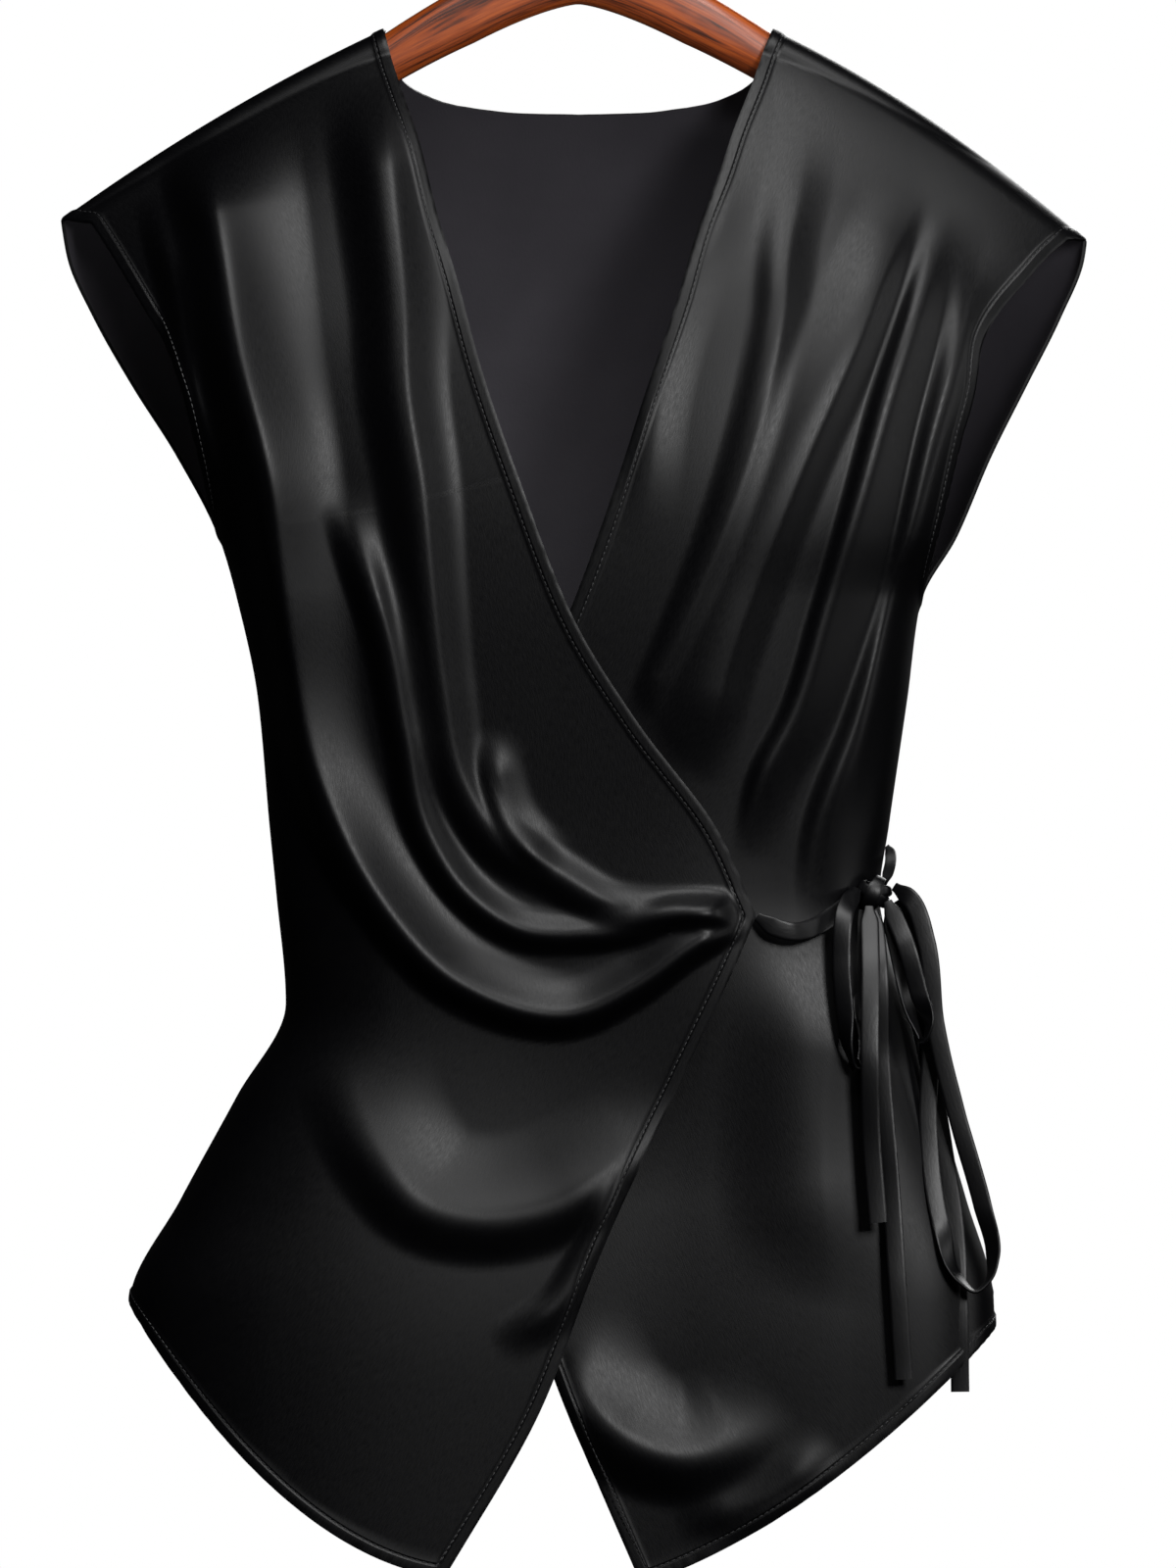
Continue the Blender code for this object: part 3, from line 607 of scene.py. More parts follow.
def front_grid(panel):
    """A front's (x, z) grid; below the armpit its side edge keeps to the form's own outline."""
    rows = rows_from_ridge(panel.rows)
    turn = np.linspace(0, 1, panel.columns)
    crowded_at_side, crowded_at_both = 1 - np.cos(np.pi / 2 * turn), 0.5 - 0.5 * np.cos(np.pi * turn)
    columns = SIDE_CROWDING * crowded_at_side + (1 - SIDE_CROWDING) * crowded_at_both
    corners = [i for i, row in enumerate(panel.stations) if row.corner]
    both = curve_through([row[:4] for row in panel.stations], rows, corners)
    side, edge = both[:, :2], both[:, 2:]
    seam = side[:, 1] <= panel.armpit_z
    side[seam, 0] = levelled(side[seam, 1], panel.outline)
    top_x = side[0, 0] + (edge[0, 0] - side[0, 0]) * columns
    top = np.stack([top_x, ridge_z(top_x)], -1)
    side[0], edge[0] = top[0], top[-1]
    bottom = bowed(side[-1], edge[-1], columns, -panel.hem_drop)
    return patch(side, edge, top, bottom, rows, columns)


def back_top():
    """Top edge of the back from shoulder tip to shoulder tip, with the neckline between the ridges."""
    neck = curve_through(BACK_NECK, np.linspace(0, 1, BACK.neck_columns + 1) ** NECK_CROWDING)
    ease = 1 - np.cos(np.linspace(0, np.pi / 2, BACK.shoulder_columns + 1))[:-1]
    halves = []
    for tip in (LEFT_SHOULDER.tip_x, RIGHT_SHOULDER.tip_x):
        shoulder_x = tip + (math.copysign(NECK_HALF, tip) - tip) * ease
        x = np.concatenate([shoulder_x, math.copysign(1, tip) * neck[:, 0]])
        halves.append(np.stack([x, np.concatenate([ridge_z(shoulder_x), neck[:, 1]])], -1))
    return np.concatenate([halves[0][:-1], halves[1][::-1]])


def back_side(shoulder, outline):
    """Edge of the back from a shoulder's tip down its armhole and side seam, kept to the form's outline."""
    start_z = shoulder.tip_z - BELOW_TIP
    below = [(getattr(row, outline), row.z) for row in SECTIONS[1:-1] if row.z < start_z]
    side = curve_through([(shoulder.tip_x, shoulder.tip_z)] + below, rows_from_ridge(BACK.rows))
    side[1:, 0] = levelled(side[1:, 1], outline)
    return side


def back_grid():
    top = back_top()
    left, right = back_side(LEFT_SHOULDER, "left"), back_side(RIGHT_SHOULDER, "right")
    share = 0.5 - 0.5 * np.cos(np.linspace(0, np.pi, len(top)))
    bottom = bowed(left[-1], right[-1], share, -BACK.hem_drop)
    return patch(left, right, top, bottom, rows_from_ridge(BACK.rows), share)


def front_outer(panel):
    """A front's outer face: its grid pushed out to the form's depth plus its folds."""
    x, z = np.moveaxis(front_grid(panel), -1, 0)
    folds = fold_relief(x, z, panel.folds)
    if panel.lift < 0:
        folds = folds * (1 - COVERED_LOSS * covered_share(x, z))
    relief = panel.lift * faded_in(x, z, LIFT_FADE) + folds * faded_in(x, z, FOLD_FADE)
    y = -np.maximum(depth(x, z, "front") + relief, SEAM_HALF)
    return np.stack([x, y, z], -1)


def back_outer():
    """The back's outer face, in the same way."""
    x, z = np.moveaxis(back_grid(), -1, 0)
    relief = fold_relief(x, z, BACK_FOLDS) * faded_in(x, z, FOLD_FADE)
    y = np.maximum(depth(x, z, "back") + relief, SEAM_HALF)
    return np.stack([x, y, z], -1)


def distance_to(line, points):
    """Distance of every point of a grid from the nearest point of a line through space, a batch at a time."""
    flat = points.reshape(-1, 3).astype(np.float32)
    found = np.empty(len(flat), np.float32)
    for start in range(0, len(flat), BATCH):
        part = flat[start:start + BATCH, None, :] - line[None].astype(np.float32)
        found[start:start + BATCH] = np.sqrt((part ** 2).sum(-1).min(1))
    return found.reshape(points.shape[:2])


def evenly(line, spacing):
    """The line's points again, at an even spacing along it."""
    key = lengths_along(line)
    return points_at(line, key, np.linspace(0, key[-1], max(4, int(key[-1] / spacing))))


def outward_normals(outer):
    """Unit normals of a grid of points; where points coincide, they lean away from the middle of the form."""
    normal = np.cross(np.gradient(outer, axis=0), np.gradient(outer, axis=1))
    return unit(normal + LEAN_OUT * unit(outer - (0.0, 0.0, FORM_MIDDLE)))


def wall_points(outer, thickness):
    """The wall's other face: the points moved in along their normals, and at a seam along its plane."""
    normal = outward_normals(outer)
    normal[np.abs(outer[..., 1]) <= SEAM_HALF, 1] = 0
    return outer - thickness * unit(normal)


def surface_lengths(outer):
    """Distances along the cloth, in metres: across each row and down each column."""
    over = np.linalg.norm(np.diff(outer, axis=1), axis=-1)
    down = np.linalg.norm(np.diff(outer, axis=0), axis=-1)
    u = np.concatenate([np.zeros((len(outer), 1)), np.cumsum(over, 1)], 1)
    v = np.concatenate([np.zeros((1, outer.shape[1])), np.cumsum(down, 0)], 0)
    return u * MM, v * MM


def add_mesh(name, points, faces, finishes, crease, uv=None, from_edge=None, slots=None):
    """A smooth mesh, sharp past the crease angle, with a UV map in metres for the finishes' patterns."""
    mesh = bpy.data.meshes.new(name)
    mesh.from_pydata(np.asarray(points, float) * MM, [], faces)
    mesh.shade_smooth()
    mesh.set_sharp_from_angle(angle=math.radians(crease))
    if uv is not None:
        corner_points = np.empty(len(mesh.loops), np.int32)
        mesh.loops.foreach_get("vertex_index", corner_points)
        layer = mesh.uv_layers.new(name="cloth_lengths")
        layer.uv.foreach_set("vector", uv[corner_points].astype(np.float32).ravel())
    if from_edge is not None:
        attribute = mesh.attributes.new("from_edge", "FLOAT", "POINT")
        attribute.data.foreach_set("value", from_edge.astype(np.float32).ravel())
    for finish in finishes:
        mesh.materials.append(finish)
    if slots is not None:
        mesh.polygons.foreach_set("material_index", slots)
    made = bpy.data.objects.new(name, mesh)
    bpy.context.scene.collection.objects.link(made)
    return made


def closed_shell(outer, inner):
    """Points and faces of a wall between two grids of points, closed round its four edges."""
    rows, columns = outer.shape[:2]
    number = np.arange(rows * columns).reshape(rows, columns)
    a, b, c, d = number[:-1, :-1], number[1:, :-1], number[1:, 1:], number[:-1, 1:]
    front = np.stack([a, b, c, d], -1).reshape(-1, 4)
    back = front[:, ::-1] + rows * columns
    rim = np.concatenate([number[0, :-1], number[:-1, -1], number[-1, :0:-1], number[:0:-1, 0]])
    following = np.roll(rim, -1)
    strip = np.stack([rim, following, following + rows * columns, rim + rows * columns], -1)
    points = np.concatenate([outer.reshape(-1, 3), inner.reshape(-1, 3)])
    return points, np.concatenate([front, back, strip]), len(front)


def panel_wall(name, outer, free_edges, cloth, finishes):
    """A panel's closed wall; its hems stand up along the free edges and the satin's wrong side is inside.

    Also gives the grids that its stitches follow: the raised face, its normals and the distance from an edge.
    """
    flip = (outer[0, -1, 0] < outer[0, 0, 0]) != (np.mean(outer[..., 1]) > 0)
    turned = outer[:, ::-1] if flip else outer
    edge = np.concatenate([evenly(line, EDGE_STEP) for line in free_edges])
    from_edge = distance_to(edge, turned)
    band = 1 - risen(from_edge - cloth.hem_width / MM, HEM_INNER_SIDE)
    rolled = np.clip(1 - from_edge / HEM_ROLL, 0, 1) ** 2
    lift = (band - HEM_ROLL_SHARE * rolled) * cloth.hem_rise / MM
    normal = outward_normals(turned)
    normal[np.abs(turned[..., 1]) <= SEAM_HALF] = 0
    raised = turned + lift[..., None] * normal
    points, faces, front_faces = closed_shell(raised, wall_points(turned, cloth.wall / MM))
    uv = np.stack(surface_lengths(turned), -1).reshape(-1, 2)
    slots = np.zeros(len(faces), np.int32)
    slots[front_faces:2 * front_faces] = 1
    made = add_mesh(
        name, points, faces.tolist(), finishes, CLOTH_CREASE, uv=np.concatenate([uv, uv]),
        from_edge=np.tile(from_edge.ravel() * MM, 2), slots=slots,
    )
    grids = (raised, normal, from_edge)
    return made, tuple(grid[:, ::-1] for grid in grids) if flip else grids


# How a grid is turned so that the named edge of it becomes its first column
EDGE_FIRST = {
    "first column": lambda grid: grid,
    "last column": lambda grid: grid[:, ::-1],
    "first row": lambda grid: np.swapaxes(grid, 0, 1),
    "last row": lambda grid: np.swapaxes(grid[::-1], 0, 1),
}


def stitch_line(grids, seam, inset):
    """Points and normals at a distance in from an edge of the grids, interpolated along each row."""
    turned = [EDGE_FIRST[seam.edge](grid)[seam.start:seam.stop, :STITCH_SEARCH] for grid in grids]
    raised, normal, from_edge = turned
    past = from_edge >= inset
    rows = np.nonzero(past.any(1) & ~past[:, 0])[0]
    after = past[rows].argmax(1)
    low, high = from_edge[rows, after - 1], from_edge[rows, after]
    share = ((inset - low) / np.maximum(high - low, TINY))[:, None]
    place = raised[rows, after - 1] * (1 - share) + raised[rows, after] * share
    return place, normal[rows, after]


def stitch_rows(lines, cloth):
    """Stitches as short rounded threads: a capsule at each step along a line, centred on the cloth's face."""
    ring = np.array(STITCH_RINGS)
    angle = 2 * np.pi * np.arange(THREAD_SIDES) / THREAD_SIDES
    half = HALF_STITCH * cloth.stitch_pitch / MM
    thick = 0.5 * cloth.thread / MM
    points, faces = [], []
    begin = 0
    for place, normal in lines:
        key = lengths_along(place)
        at = np.arange(0.5, key[-1] * MM / cloth.stitch_pitch - 0.5) * cloth.stitch_pitch / MM
        centre, up = points_at(place, key, at), unit(points_at(normal, key, at))
        along = unit(np.gradient(centre, axis=0))
        beside = np.cross(along, up)
        body = (
            centre[:, None, None] + half * ring[None, :, :1, None] * along[:, None, None]
            + thick * ring[None, :, 1:, None] * (
                np.cos(angle)[None, None, :, None] * beside[:, None, None]
                + np.sin(angle)[None, None, :, None] * up[:, None, None]
            )
        ).reshape(-1, 3)
        first = begin + len(ring) * THREAD_SIDES * np.arange(len(centre))[:, None, None]
        first = first + THREAD_SIDES * np.arange(len(ring) - 1)[None, :, None]
        side = np.arange(THREAD_SIDES)[None, None, :]
        a, b = first + side, first + (side + 1) % THREAD_SIDES
        points.append(body)
        faces.append(np.stack([a, b, b + THREAD_SIDES, a + THREAD_SIDES], -1).reshape(-1, 4))
        begin += len(body)
    return np.concatenate(points), np.concatenate(faces)


# Straps and knot

def carried_section(centre, width, face, half_width, half_thick, power, sides):
    """A flat strap's skin: a superellipse carried along the centres, |a|^n + |b|^n = 1 with n = 2 / power."""
    angle = 2 * np.pi * (np.arange(sides) + 0.5) / sides
    a, b = blunted(np.cos(angle), power), blunted(np.sin(angle), power)
    return (
        centre[:, None] + half_width[:, None, None] * a[None, :, None] * width[:, None]
        + half_thick[:, None, None] * b[None, :, None] * face[:, None]
    )


def ring_quads(a, b):
    """Four-sided faces between matching rings of points."""
    return np.stack([a, b, np.roll(b, -1, 1), np.roll(a, -1, 1)], -1).reshape(-1, 4).tolist()


def tube_faces(rings, sides, closed):
    number = np.arange(rings * sides).reshape(rings, sides)
    if closed:
        return ring_quads(number, np.roll(number, -1, 0))
    return ring_quads(number[:-1], number[1:]) + [number[0].tolist(), number[-1, ::-1].tolist()]


def strap_skin(name, strands, free_end, cloth, finish, pinch=1.0):
    """A flat folded strap carried along its route, narrowed where it is pulled into the knot."""
    route = np.array([row[:3] for row in strands], float)
    key = lengths_along(route)
    rings = max(FEWEST_STRAP_RINGS, int(key[-1] / STRAP_STEP))
    share = np.linspace(0, 1, rings)
    along = share * key[-1]
    centre = curve_through(route, share)
    turn = np.radians(np.interp(along, key, [row.turn for row in strands]))[:, None]
    tangent = unit(np.gradient(centre, axis=0))
    face = unit(np.array([0.0, -1.0, 0.0]) + tangent * tangent[:, 1:2])
    width = np.cross(tangent, face)
    face, width = face * np.cos(turn) + width * np.sin(turn), width * np.cos(turn) - face * np.sin(turn)
    strap_width = cloth.strap_width / MM
    from_end = share if free_end else np.minimum(share, 1 - share)
    widening = smoothstep(from_end * key[-1] / strap_width)
    half = pinch * strap_width / 2 * (PULLED_IN + (1 - PULLED_IN) * widening)
    ripple = 1 + sum(wave.height * np.sin(along / wave.length + wave.turn) for wave in STRAP_RIPPLES)
    thick = cloth.strap_thick / MM / 2 * ripple
    half *= 1 + WIDTH_RIPPLE * (ripple - 1)
    skin = carried_section(centre, width, face, half, thick, STRAP_SQUARE, STRAP_SIDES)
    around = np.arange(STRAP_SIDES) / STRAP_SIDES * WIDTHS_ROUND * strap_width
    uv = np.stack([np.tile(around, rings), np.repeat(along, STRAP_SIDES)], -1) * MM
    faces = tube_faces(rings, STRAP_SIDES, False)
    made = add_mesh(name, skin.reshape(-1, 3), faces, [finish], SECTION_CREASE, uv=uv)
    return made, centre * MM, lengths_along(centre)[-1] * MM


def ring_band(wrap):
    """One turn of strap round the knot: a flat section carried round an ellipse that leans from upright."""
    angle = 2 * np.pi * np.arange(WRAP_RINGS) / WRAP_RINGS
    lean = math.radians(wrap.lean)
    long_way = np.array([math.sin(lean), 0.0, math.cos(lean)])
    wide_way = np.array([math.cos(lean), 0.0, -math.sin(lean)])
    deep_way = np.array([0.0, 1.0, 0.0])
    cos, sin = np.cos(angle)[:, None], np.sin(angle)[:, None]
    centre = (
        np.array(KNOT_CENTRE) + wrap.half_long * cos * long_way + wrap.half_deep * sin * deep_way
        + WRAP_SLANT * sin * wide_way
    )
    face = unit(cos / wrap.half_long * long_way + sin / wrap.half_deep * deep_way)
    width = np.broadcast_to(wide_way, centre.shape)
    half_width = wrap.half_width * (1 - WRAP_PINCH * np.cos(2 * angle))
    half_thick = np.full(WRAP_RINGS, WRAP_HALF_THICK)
    skin = carried_section(centre, width, face, half_width, half_thick, WRAP_SQUARE, WRAP_SIDES)
    return skin.reshape(-1, 3), tube_faces(WRAP_RINGS, WRAP_SIDES, True)


def ellipsoid(centre, half, rings, sides):
    """Closed ball: points at polar angles between two poles, each axis by its own half size."""
    polar = np.pi * np.arange(1, rings)[:, None] / rings
    angle = 2 * np.pi * np.arange(sides) / sides
    level = np.repeat(np.cos(polar), sides, 1)
    ball = np.stack([np.sin(polar) * np.cos(angle), np.sin(polar) * np.sin(angle), level], -1)
    points = np.concatenate([ball.reshape(-1, 3), [(0, 0, 1), (0, 0, -1)]]) * half + centre
    number = np.arange((rings - 1) * sides).reshape(rings - 1, sides)
    top, bottom, last = len(points) - 2, len(points) - 1, (rings - 2) * sides
    caps = [[top, i, (i + 1) % sides] for i in range(sides)]
    caps += [[bottom, last + (i + 1) % sides, last + i] for i in range(sides)]
    return points, ring_quads(number[:-1], number[1:]) + caps


# Hanger

def bar_skin(spans, sides):
    """The hanger's bar: a rounded section that tapers out along the arched and sloping arms."""
    x = np.linspace(-HANGER_END, HANGER_END, spans)
    out = np.abs(x)
    stops = [row.out for row in HANGER_BAR]
    tall = np.interp(out, stops, [row.half_height for row in HANGER_BAR])[:, None]
    thick = np.interp(out, stops, [row.half_depth for row in HANGER_BAR])[:, None]
    square = np.interp(out, [row.out for row in BAR_BLUNTING], [row.power for row in BAR_BLUNTING])[:, None]
    arch = HANGER_CROWN * (1 - np.minimum(out / NECK_HALF, 1) ** ARCH_POWER)
    top = ridge_z(x) + arch - CAD_WALL - HANGER_CLEARANCE
    angle = 2 * np.pi * (np.arange(sides) + 0.5) / sides
    y = thick * blunted(np.cos(angle), square)
    z = top[:, None] - tall + tall * blunted(np.sin(angle), square)
    points = np.stack([np.repeat(x[:, None], sides, 1), y, z], -1)
    run = lengths_along(np.stack([x, top], -1))
    around = np.arange(sides) / sides * 2 * np.pi * GRAIN_RADIUS
    uv = np.stack([np.repeat(run, sides), np.tile(around, spans)], -1) * MM
    return points.reshape(-1, 3), tube_faces(spans, sides, False), uv


# Materials

def linear(hex_colour):
    """A colour written as sRGB hex, turned to linear light for a shader's socket."""
    parts = [int(hex_colour[i:i + 2], 16) / 255 for i in (0, 2, 4)]
    return (*[c / 12.92 if c <= 0.04045 else ((c + 0.055) / 1.055) ** 2.4 for c in parts], 1.0)


def fill_inputs(tree, node, **inputs):
    """Sets a node's inputs, by name or as iN by number: to a value, or linked from another node's output."""
    for key, value in inputs.items():
        socket = node.inputs[int(key[1:])] if key[1:].isdigit() else node.inputs[key.replace("_", " ")]
        if isinstance(value, bpy.types.NodeSocket):
            tree.links.new(value, socket)
        else:
            socket.default_value = value


def add_node(tree, kind, settings=None, **inputs):
    node = tree.nodes.new(kind)
    for key, value in (settings or {}).items():
        setattr(node, key, value)
    fill_inputs(tree, node, **inputs)
    return node


def new_material(name):
    made = bpy.data.materials.new(name)
    made.use_nodes = True
    return made, made.node_tree, made.node_tree.nodes["Principled BSDF"]


def cloth_place(tree):
    """A place on the cloth or the bar, in metres along and across it."""
    return add_node(tree, "ShaderNodeUVMap", {"uv_map": "cloth_lengths"}).outputs["UV"]


def scaled(tree, place, scale, **more):
    return add_node(tree, "ShaderNodeMapping", Vector=place, Scale=scale, **more).outputs["Vector"]


def noise(tree, place, scale, detail, **more):
    return add_node(
        tree, "ShaderNodeTexNoise", Vector=place, Scale=scale, Detail=detail, **more,
    ).outputs["Fac"]


def bumped(tree, height, strength, distance, **more):
    return add_node(
        tree, "ShaderNodeBump", Strength=strength, Distance=distance, Height=height, **more,
    ).outputs["Normal"]


def ranged(tree, value, low, high, to_low, to_high):
    return add_node(
        tree, "ShaderNodeMapRange", i0=value, i1=low, i2=high, i3=to_low, i4=to_high,
    ).outputs["Result"]


def ramp(tree, factor, *stops):
    """A colour ramp through (place, sRGB hex) stops."""
    node = add_node(tree, "ShaderNodeValToRGB", i0=factor)
    ends = node.color_ramp.elements
    while len(ends) < len(stops):
        ends.new(0.5)
    for end, (place, colour) in zip(ends, stops):
        end.position, end.color = place, linear(colour)
    return node.outputs["Color"]


def charmeuse_face(colours):
    """Silk-like polyester charmeuse, right side: long floats of filament yarn, woven and calendered.

    Nearly black with a soft, broad gloss along the folds. The filaments run down the cloth, so the streaks of
    the weave are long that way. Real floats are 0.2 mm apart; they are drawn 0.5 mm apart so that they show.
    A groove lies under the row of stitches along every turned hem.
    """
    made, tree, shader = new_material("black_charmeuse_face")
    place = cloth_place(tree)
    floats = noise(tree, scaled(tree, place, (2000.0, 260.0, 1.0)), 1.0, 2.0, Roughness=0.6)
    mist = noise(tree, place, 60.0, 3.0, Roughness=0.55)
    edge = add_node(tree, "ShaderNodeAttribute", {"attribute_name": "from_edge"}).outputs["Fac"]
    from_stitches = add_node(tree, "ShaderNodeMath", {"operation": "SUBTRACT"}, i0=edge, i1=0.005).outputs[0]
    away = add_node(tree, "ShaderNodeMath", {"operation": "ABSOLUTE"}, i0=from_stitches).outputs[0]
    stitched = bumped(tree, ranged(tree, away, 0.0, 0.0009, 0.0, 1.0), 0.5, 0.0006)
    fill_inputs(
        tree, shader, Base_Color=ramp(tree, mist, (0.3, colours.satin_shade), (0.75, colours.satin)),
        Roughness=ranged(tree, floats, 0.25, 0.75, 0.34, 0.46),
        Normal=bumped(tree, floats, 0.16, 0.0002, Normal=stitched), Specular_IOR_Level=0.19, IOR=1.52,
    )
    return made


def charmeuse_wrong_side(colours):
    """The same charmeuse, wrong side: crepe yarns with few floats, so dull, greyer and faintly ribbed."""
    made, tree, shader = new_material("black_charmeuse_wrong_side")
    place = cloth_place(tree)
    crepe = noise(tree, scaled(tree, place, (900.0, 500.0, 1.0)), 1.0, 3.0, Roughness=0.65)
    mist = noise(tree, place, 26.0, 4.0, Roughness=0.6)
    fill_inputs(
        tree, shader, Base_Color=ramp(tree, mist, (0.25, colours.inside_shade), (0.75, colours.inside)),
        Normal=bumped(tree, crepe, 0.25, 0.0003), Roughness=0.78, Specular_IOR_Level=0.3,
    )
    return made


def strap_satin(colours):
    """Charmeuse cut on the bias, folded and edge-stitched into a flat strap: tighter, so a bit glossier."""
    made, tree, shader = new_material("black_charmeuse_strap")
    bias = (0.0, 0.0, math.radians(45))
    floats = noise(tree, scaled(tree, cloth_place(tree), (1600.0, 300.0, 1.0), Rotation=bias), 1.0, 2.0)
    fill_inputs(
        tree, shader, Base_Color=ramp(tree, floats, (0.3, colours.satin_shade), (0.7, colours.satin)),
        Normal=bumped(tree, floats, 0.2, 0.0002), Roughness=0.38, Specular_IOR_Level=0.28,
    )
    return made


def polyester_thread(colours):
    """Black spun polyester sewing thread: matt, with a fine twist that the eye reads as small dark dashes."""
    made, tree, shader = new_material("black_polyester_thread")
    twist = noise(tree, add_node(tree, "ShaderNodeTexCoord").outputs["Object"], 2600.0, 1.0)
    tone = ramp(tree, twist, (0.35, colours.thread_shade), (0.65, colours.thread))
    fill_inputs(tree, shader, Base_Color=tone, Roughness=0.55)
    return made


def varnished_beech(colours):
    """Steam-bent beech, stained reddish brown and varnished: streaks along the bar under a clear coat."""
    made, tree, shader = new_material("stained_varnished_beech")
    place = cloth_place(tree)
    bands = noise(tree, scaled(tree, place, (9.0, 260.0, 1.0)), 1.0, 4.0, Distortion=0.6)
    pores = noise(tree, scaled(tree, place, (60.0, 1500.0, 1.0)), 1.0, 2.0)
    grain = add_node(tree, "ShaderNodeMix", {"data_type": "FLOAT"}, i0=0.3, i2=bands, i3=pores).outputs[0]
    tone = ramp(tree, grain, (0.38, colours.wood_dark), (0.49, colours.wood), (0.6, colours.wood_light))
    fill_inputs(
        tree, shader, Base_Color=tone, Normal=bumped(tree, pores, 0.15, 0.0003), Roughness=0.42,
        Coat_Weight=0.22, Coat_Roughness=0.16,
    )
    return made


def plated_wire(colours):
    """Drawn steel wire, nickel plated: bright, with faint drawing lines that soften its highlight."""
    made, tree, shader = new_material("nickel_plated_steel_wire")
    lines = noise(tree, add_node(tree, "ShaderNodeTexCoord").outputs["Object"], 900.0, 2.0)
    fill_inputs(
        tree, shader, Base_Color=ramp(tree, lines, (0.3, colours.metal_shade), (0.7, colours.metal)),
        Roughness=ranged(tree, lines, 0.3, 0.7, 0.2, 0.34), Metallic=1.0,
    )
    return made


def painted_floor(colours):
    """Matt white studio paint, rolled on."""
    made, tree, shader = new_material("matt_white_studio_paint")
    fill_inputs(tree, shader, Base_Color=linear(colours.floor), Roughness=0.9)
    return made


def once(name, make):
    """The material of that name, made on first use."""
    return bpy.data.materials.get(name) or make(bpy.context.scene.blouse_colours)


# Settings

class ClothSettings(bpy.types.PropertyGroup):
    """Sizes of the cloth, its hems, stitches and straps."""

    wall: bpy.props.FloatProperty(
        name="Cloth wall", description="Thickness of the shell of satin", default=0.0009, unit="LENGTH",
    )
    hem_width: bpy.props.FloatProperty(
        name="Hem width", description="Width of the turned hem along every free edge", default=0.0055,
        unit="LENGTH",
    )
    hem_rise: bpy.props.FloatProperty(
        name="Hem rise", description="How far the turned hem stands up", default=0.0007, unit="LENGTH",
    )
    stitch_inset: bpy.props.FloatProperty(
        name="Stitch inset", description="Distance of the stitches from the edge", default=0.005,
        unit="LENGTH",
    )
    stitch_pitch: bpy.props.FloatProperty(
        name="Stitch pitch", description="Length of one stitch with its gap", default=0.0028, unit="LENGTH",
    )
    thread: bpy.props.FloatProperty(
        name="Thread", description="Thickness of the sewing thread", default=0.0005, unit="LENGTH",
    )
    strap_width: bpy.props.FloatProperty(
        name="Strap width", description="Width of the folded straps", default=0.008, unit="LENGTH",
    )
    strap_thick: bpy.props.FloatProperty(
        name="Strap thickness", description="Thickness of the folded straps", default=0.0015, unit="LENGTH",
    )


class ColourSettings(bpy.types.PropertyGroup):
    """Colours as sRGB hex."""

    satin: bpy.props.StringProperty(name="Satin", description="Right side of the satin", default="020203")
    satin_shade: bpy.props.StringProperty(
        name="Satin, deeper", description="Darker threads of the satin", default="010102",
    )
    inside: bpy.props.StringProperty(name="Inside", description="Wrong side of the satin", default="2A282D")
    inside_shade: bpy.props.StringProperty(
        name="Inside, deeper", description="Darker patches of the wrong side", default="242227",
    )
    thread: bpy.props.StringProperty(name="Thread", description="Sewing thread", default="1C1C1E")
    thread_shade: bpy.props.StringProperty(
        name="Thread, deeper", description="Shaded side of the thread's twist", default="0C0C0D",
    )
    wood: bpy.props.StringProperty(name="Wood", description="Stained wood", default="7C3306")
    wood_dark: bpy.props.StringProperty(name="Wood, dark", description="Dark grain", default="341203")
    wood_light: bpy.props.StringProperty(name="Wood, light", description="Light grain", default="93430C")
    metal: bpy.props.StringProperty(name="Metal", description="Plated hook", default="D2D2D4")
    metal_shade: bpy.props.StringProperty(
        name="Metal, dull", description="Drawing lines of the hook's wire", default="B4B4B8",
    )
    floor: bpy.props.StringProperty(name="Floor", description="Studio floor", default="F2F2F2")


class StageSettings(bpy.types.PropertyGroup):
    """Where the camera and the floor are, and how bright the lights are."""

    camera_distance: bpy.props.FloatProperty(
        name="Camera distance", description="From the plane of the side seams", default=6.0, unit="LENGTH",
    )
    picture_height: bpy.props.FloatProperty(
        name="Picture height", description="Height that the picture takes in", default=0.672, unit="LENGTH",
    )
    floor_z: bpy.props.FloatProperty(
        name="Floor level", description="Height of the floor below the hook", default=-1.5, unit="LENGTH",
    )
    key_power: bpy.props.FloatProperty(
        name="Key light", description="Small light up to the right of the camera", default=29.0, unit="POWER",
    )
    top_power: bpy.props.FloatProperty(
        name="Top light", description="Soft light above the camera", default=46.0, unit="POWER",
    )
    side_power: bpy.props.FloatProperty(
        name="Side light", description="Tall weak light from the right", default=7.0, unit="POWER",
    )
    back_power: bpy.props.FloatProperty(
        name="Back light", description="Soft light for views from behind", default=30.0, unit="POWER",
    )
    room_light: bpy.props.FloatProperty(
        name="Room light", description="Even light of the white studio on the object", default=0.006,
    )


Cut = namedtuple("Cut", "width length area")


def build_panel(node, outer, edges, seams):
    """A panel's shell and its rows of stitches."""
    cloth = bpy.context.scene.blouse_cloth
    satin = [
        once("black_charmeuse_face", charmeuse_face),
        once("black_charmeuse_wrong_side", charmeuse_wrong_side),
    ]
    made, grids = panel_wall(node + "_satin", outer, edges, cloth, satin)
    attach(made, "root")
    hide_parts(node)
    points, faces = stitch_rows([stitch_line(grids, seam, cloth.stitch_inset / MM) for seam in seams], cloth)
    thread = once("black_polyester_thread", polyester_thread)
    stitches = add_mesh(node + "_stitches", points, faces.tolist(), [thread], CLOTH_CREASE)
    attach(stitches, "root")


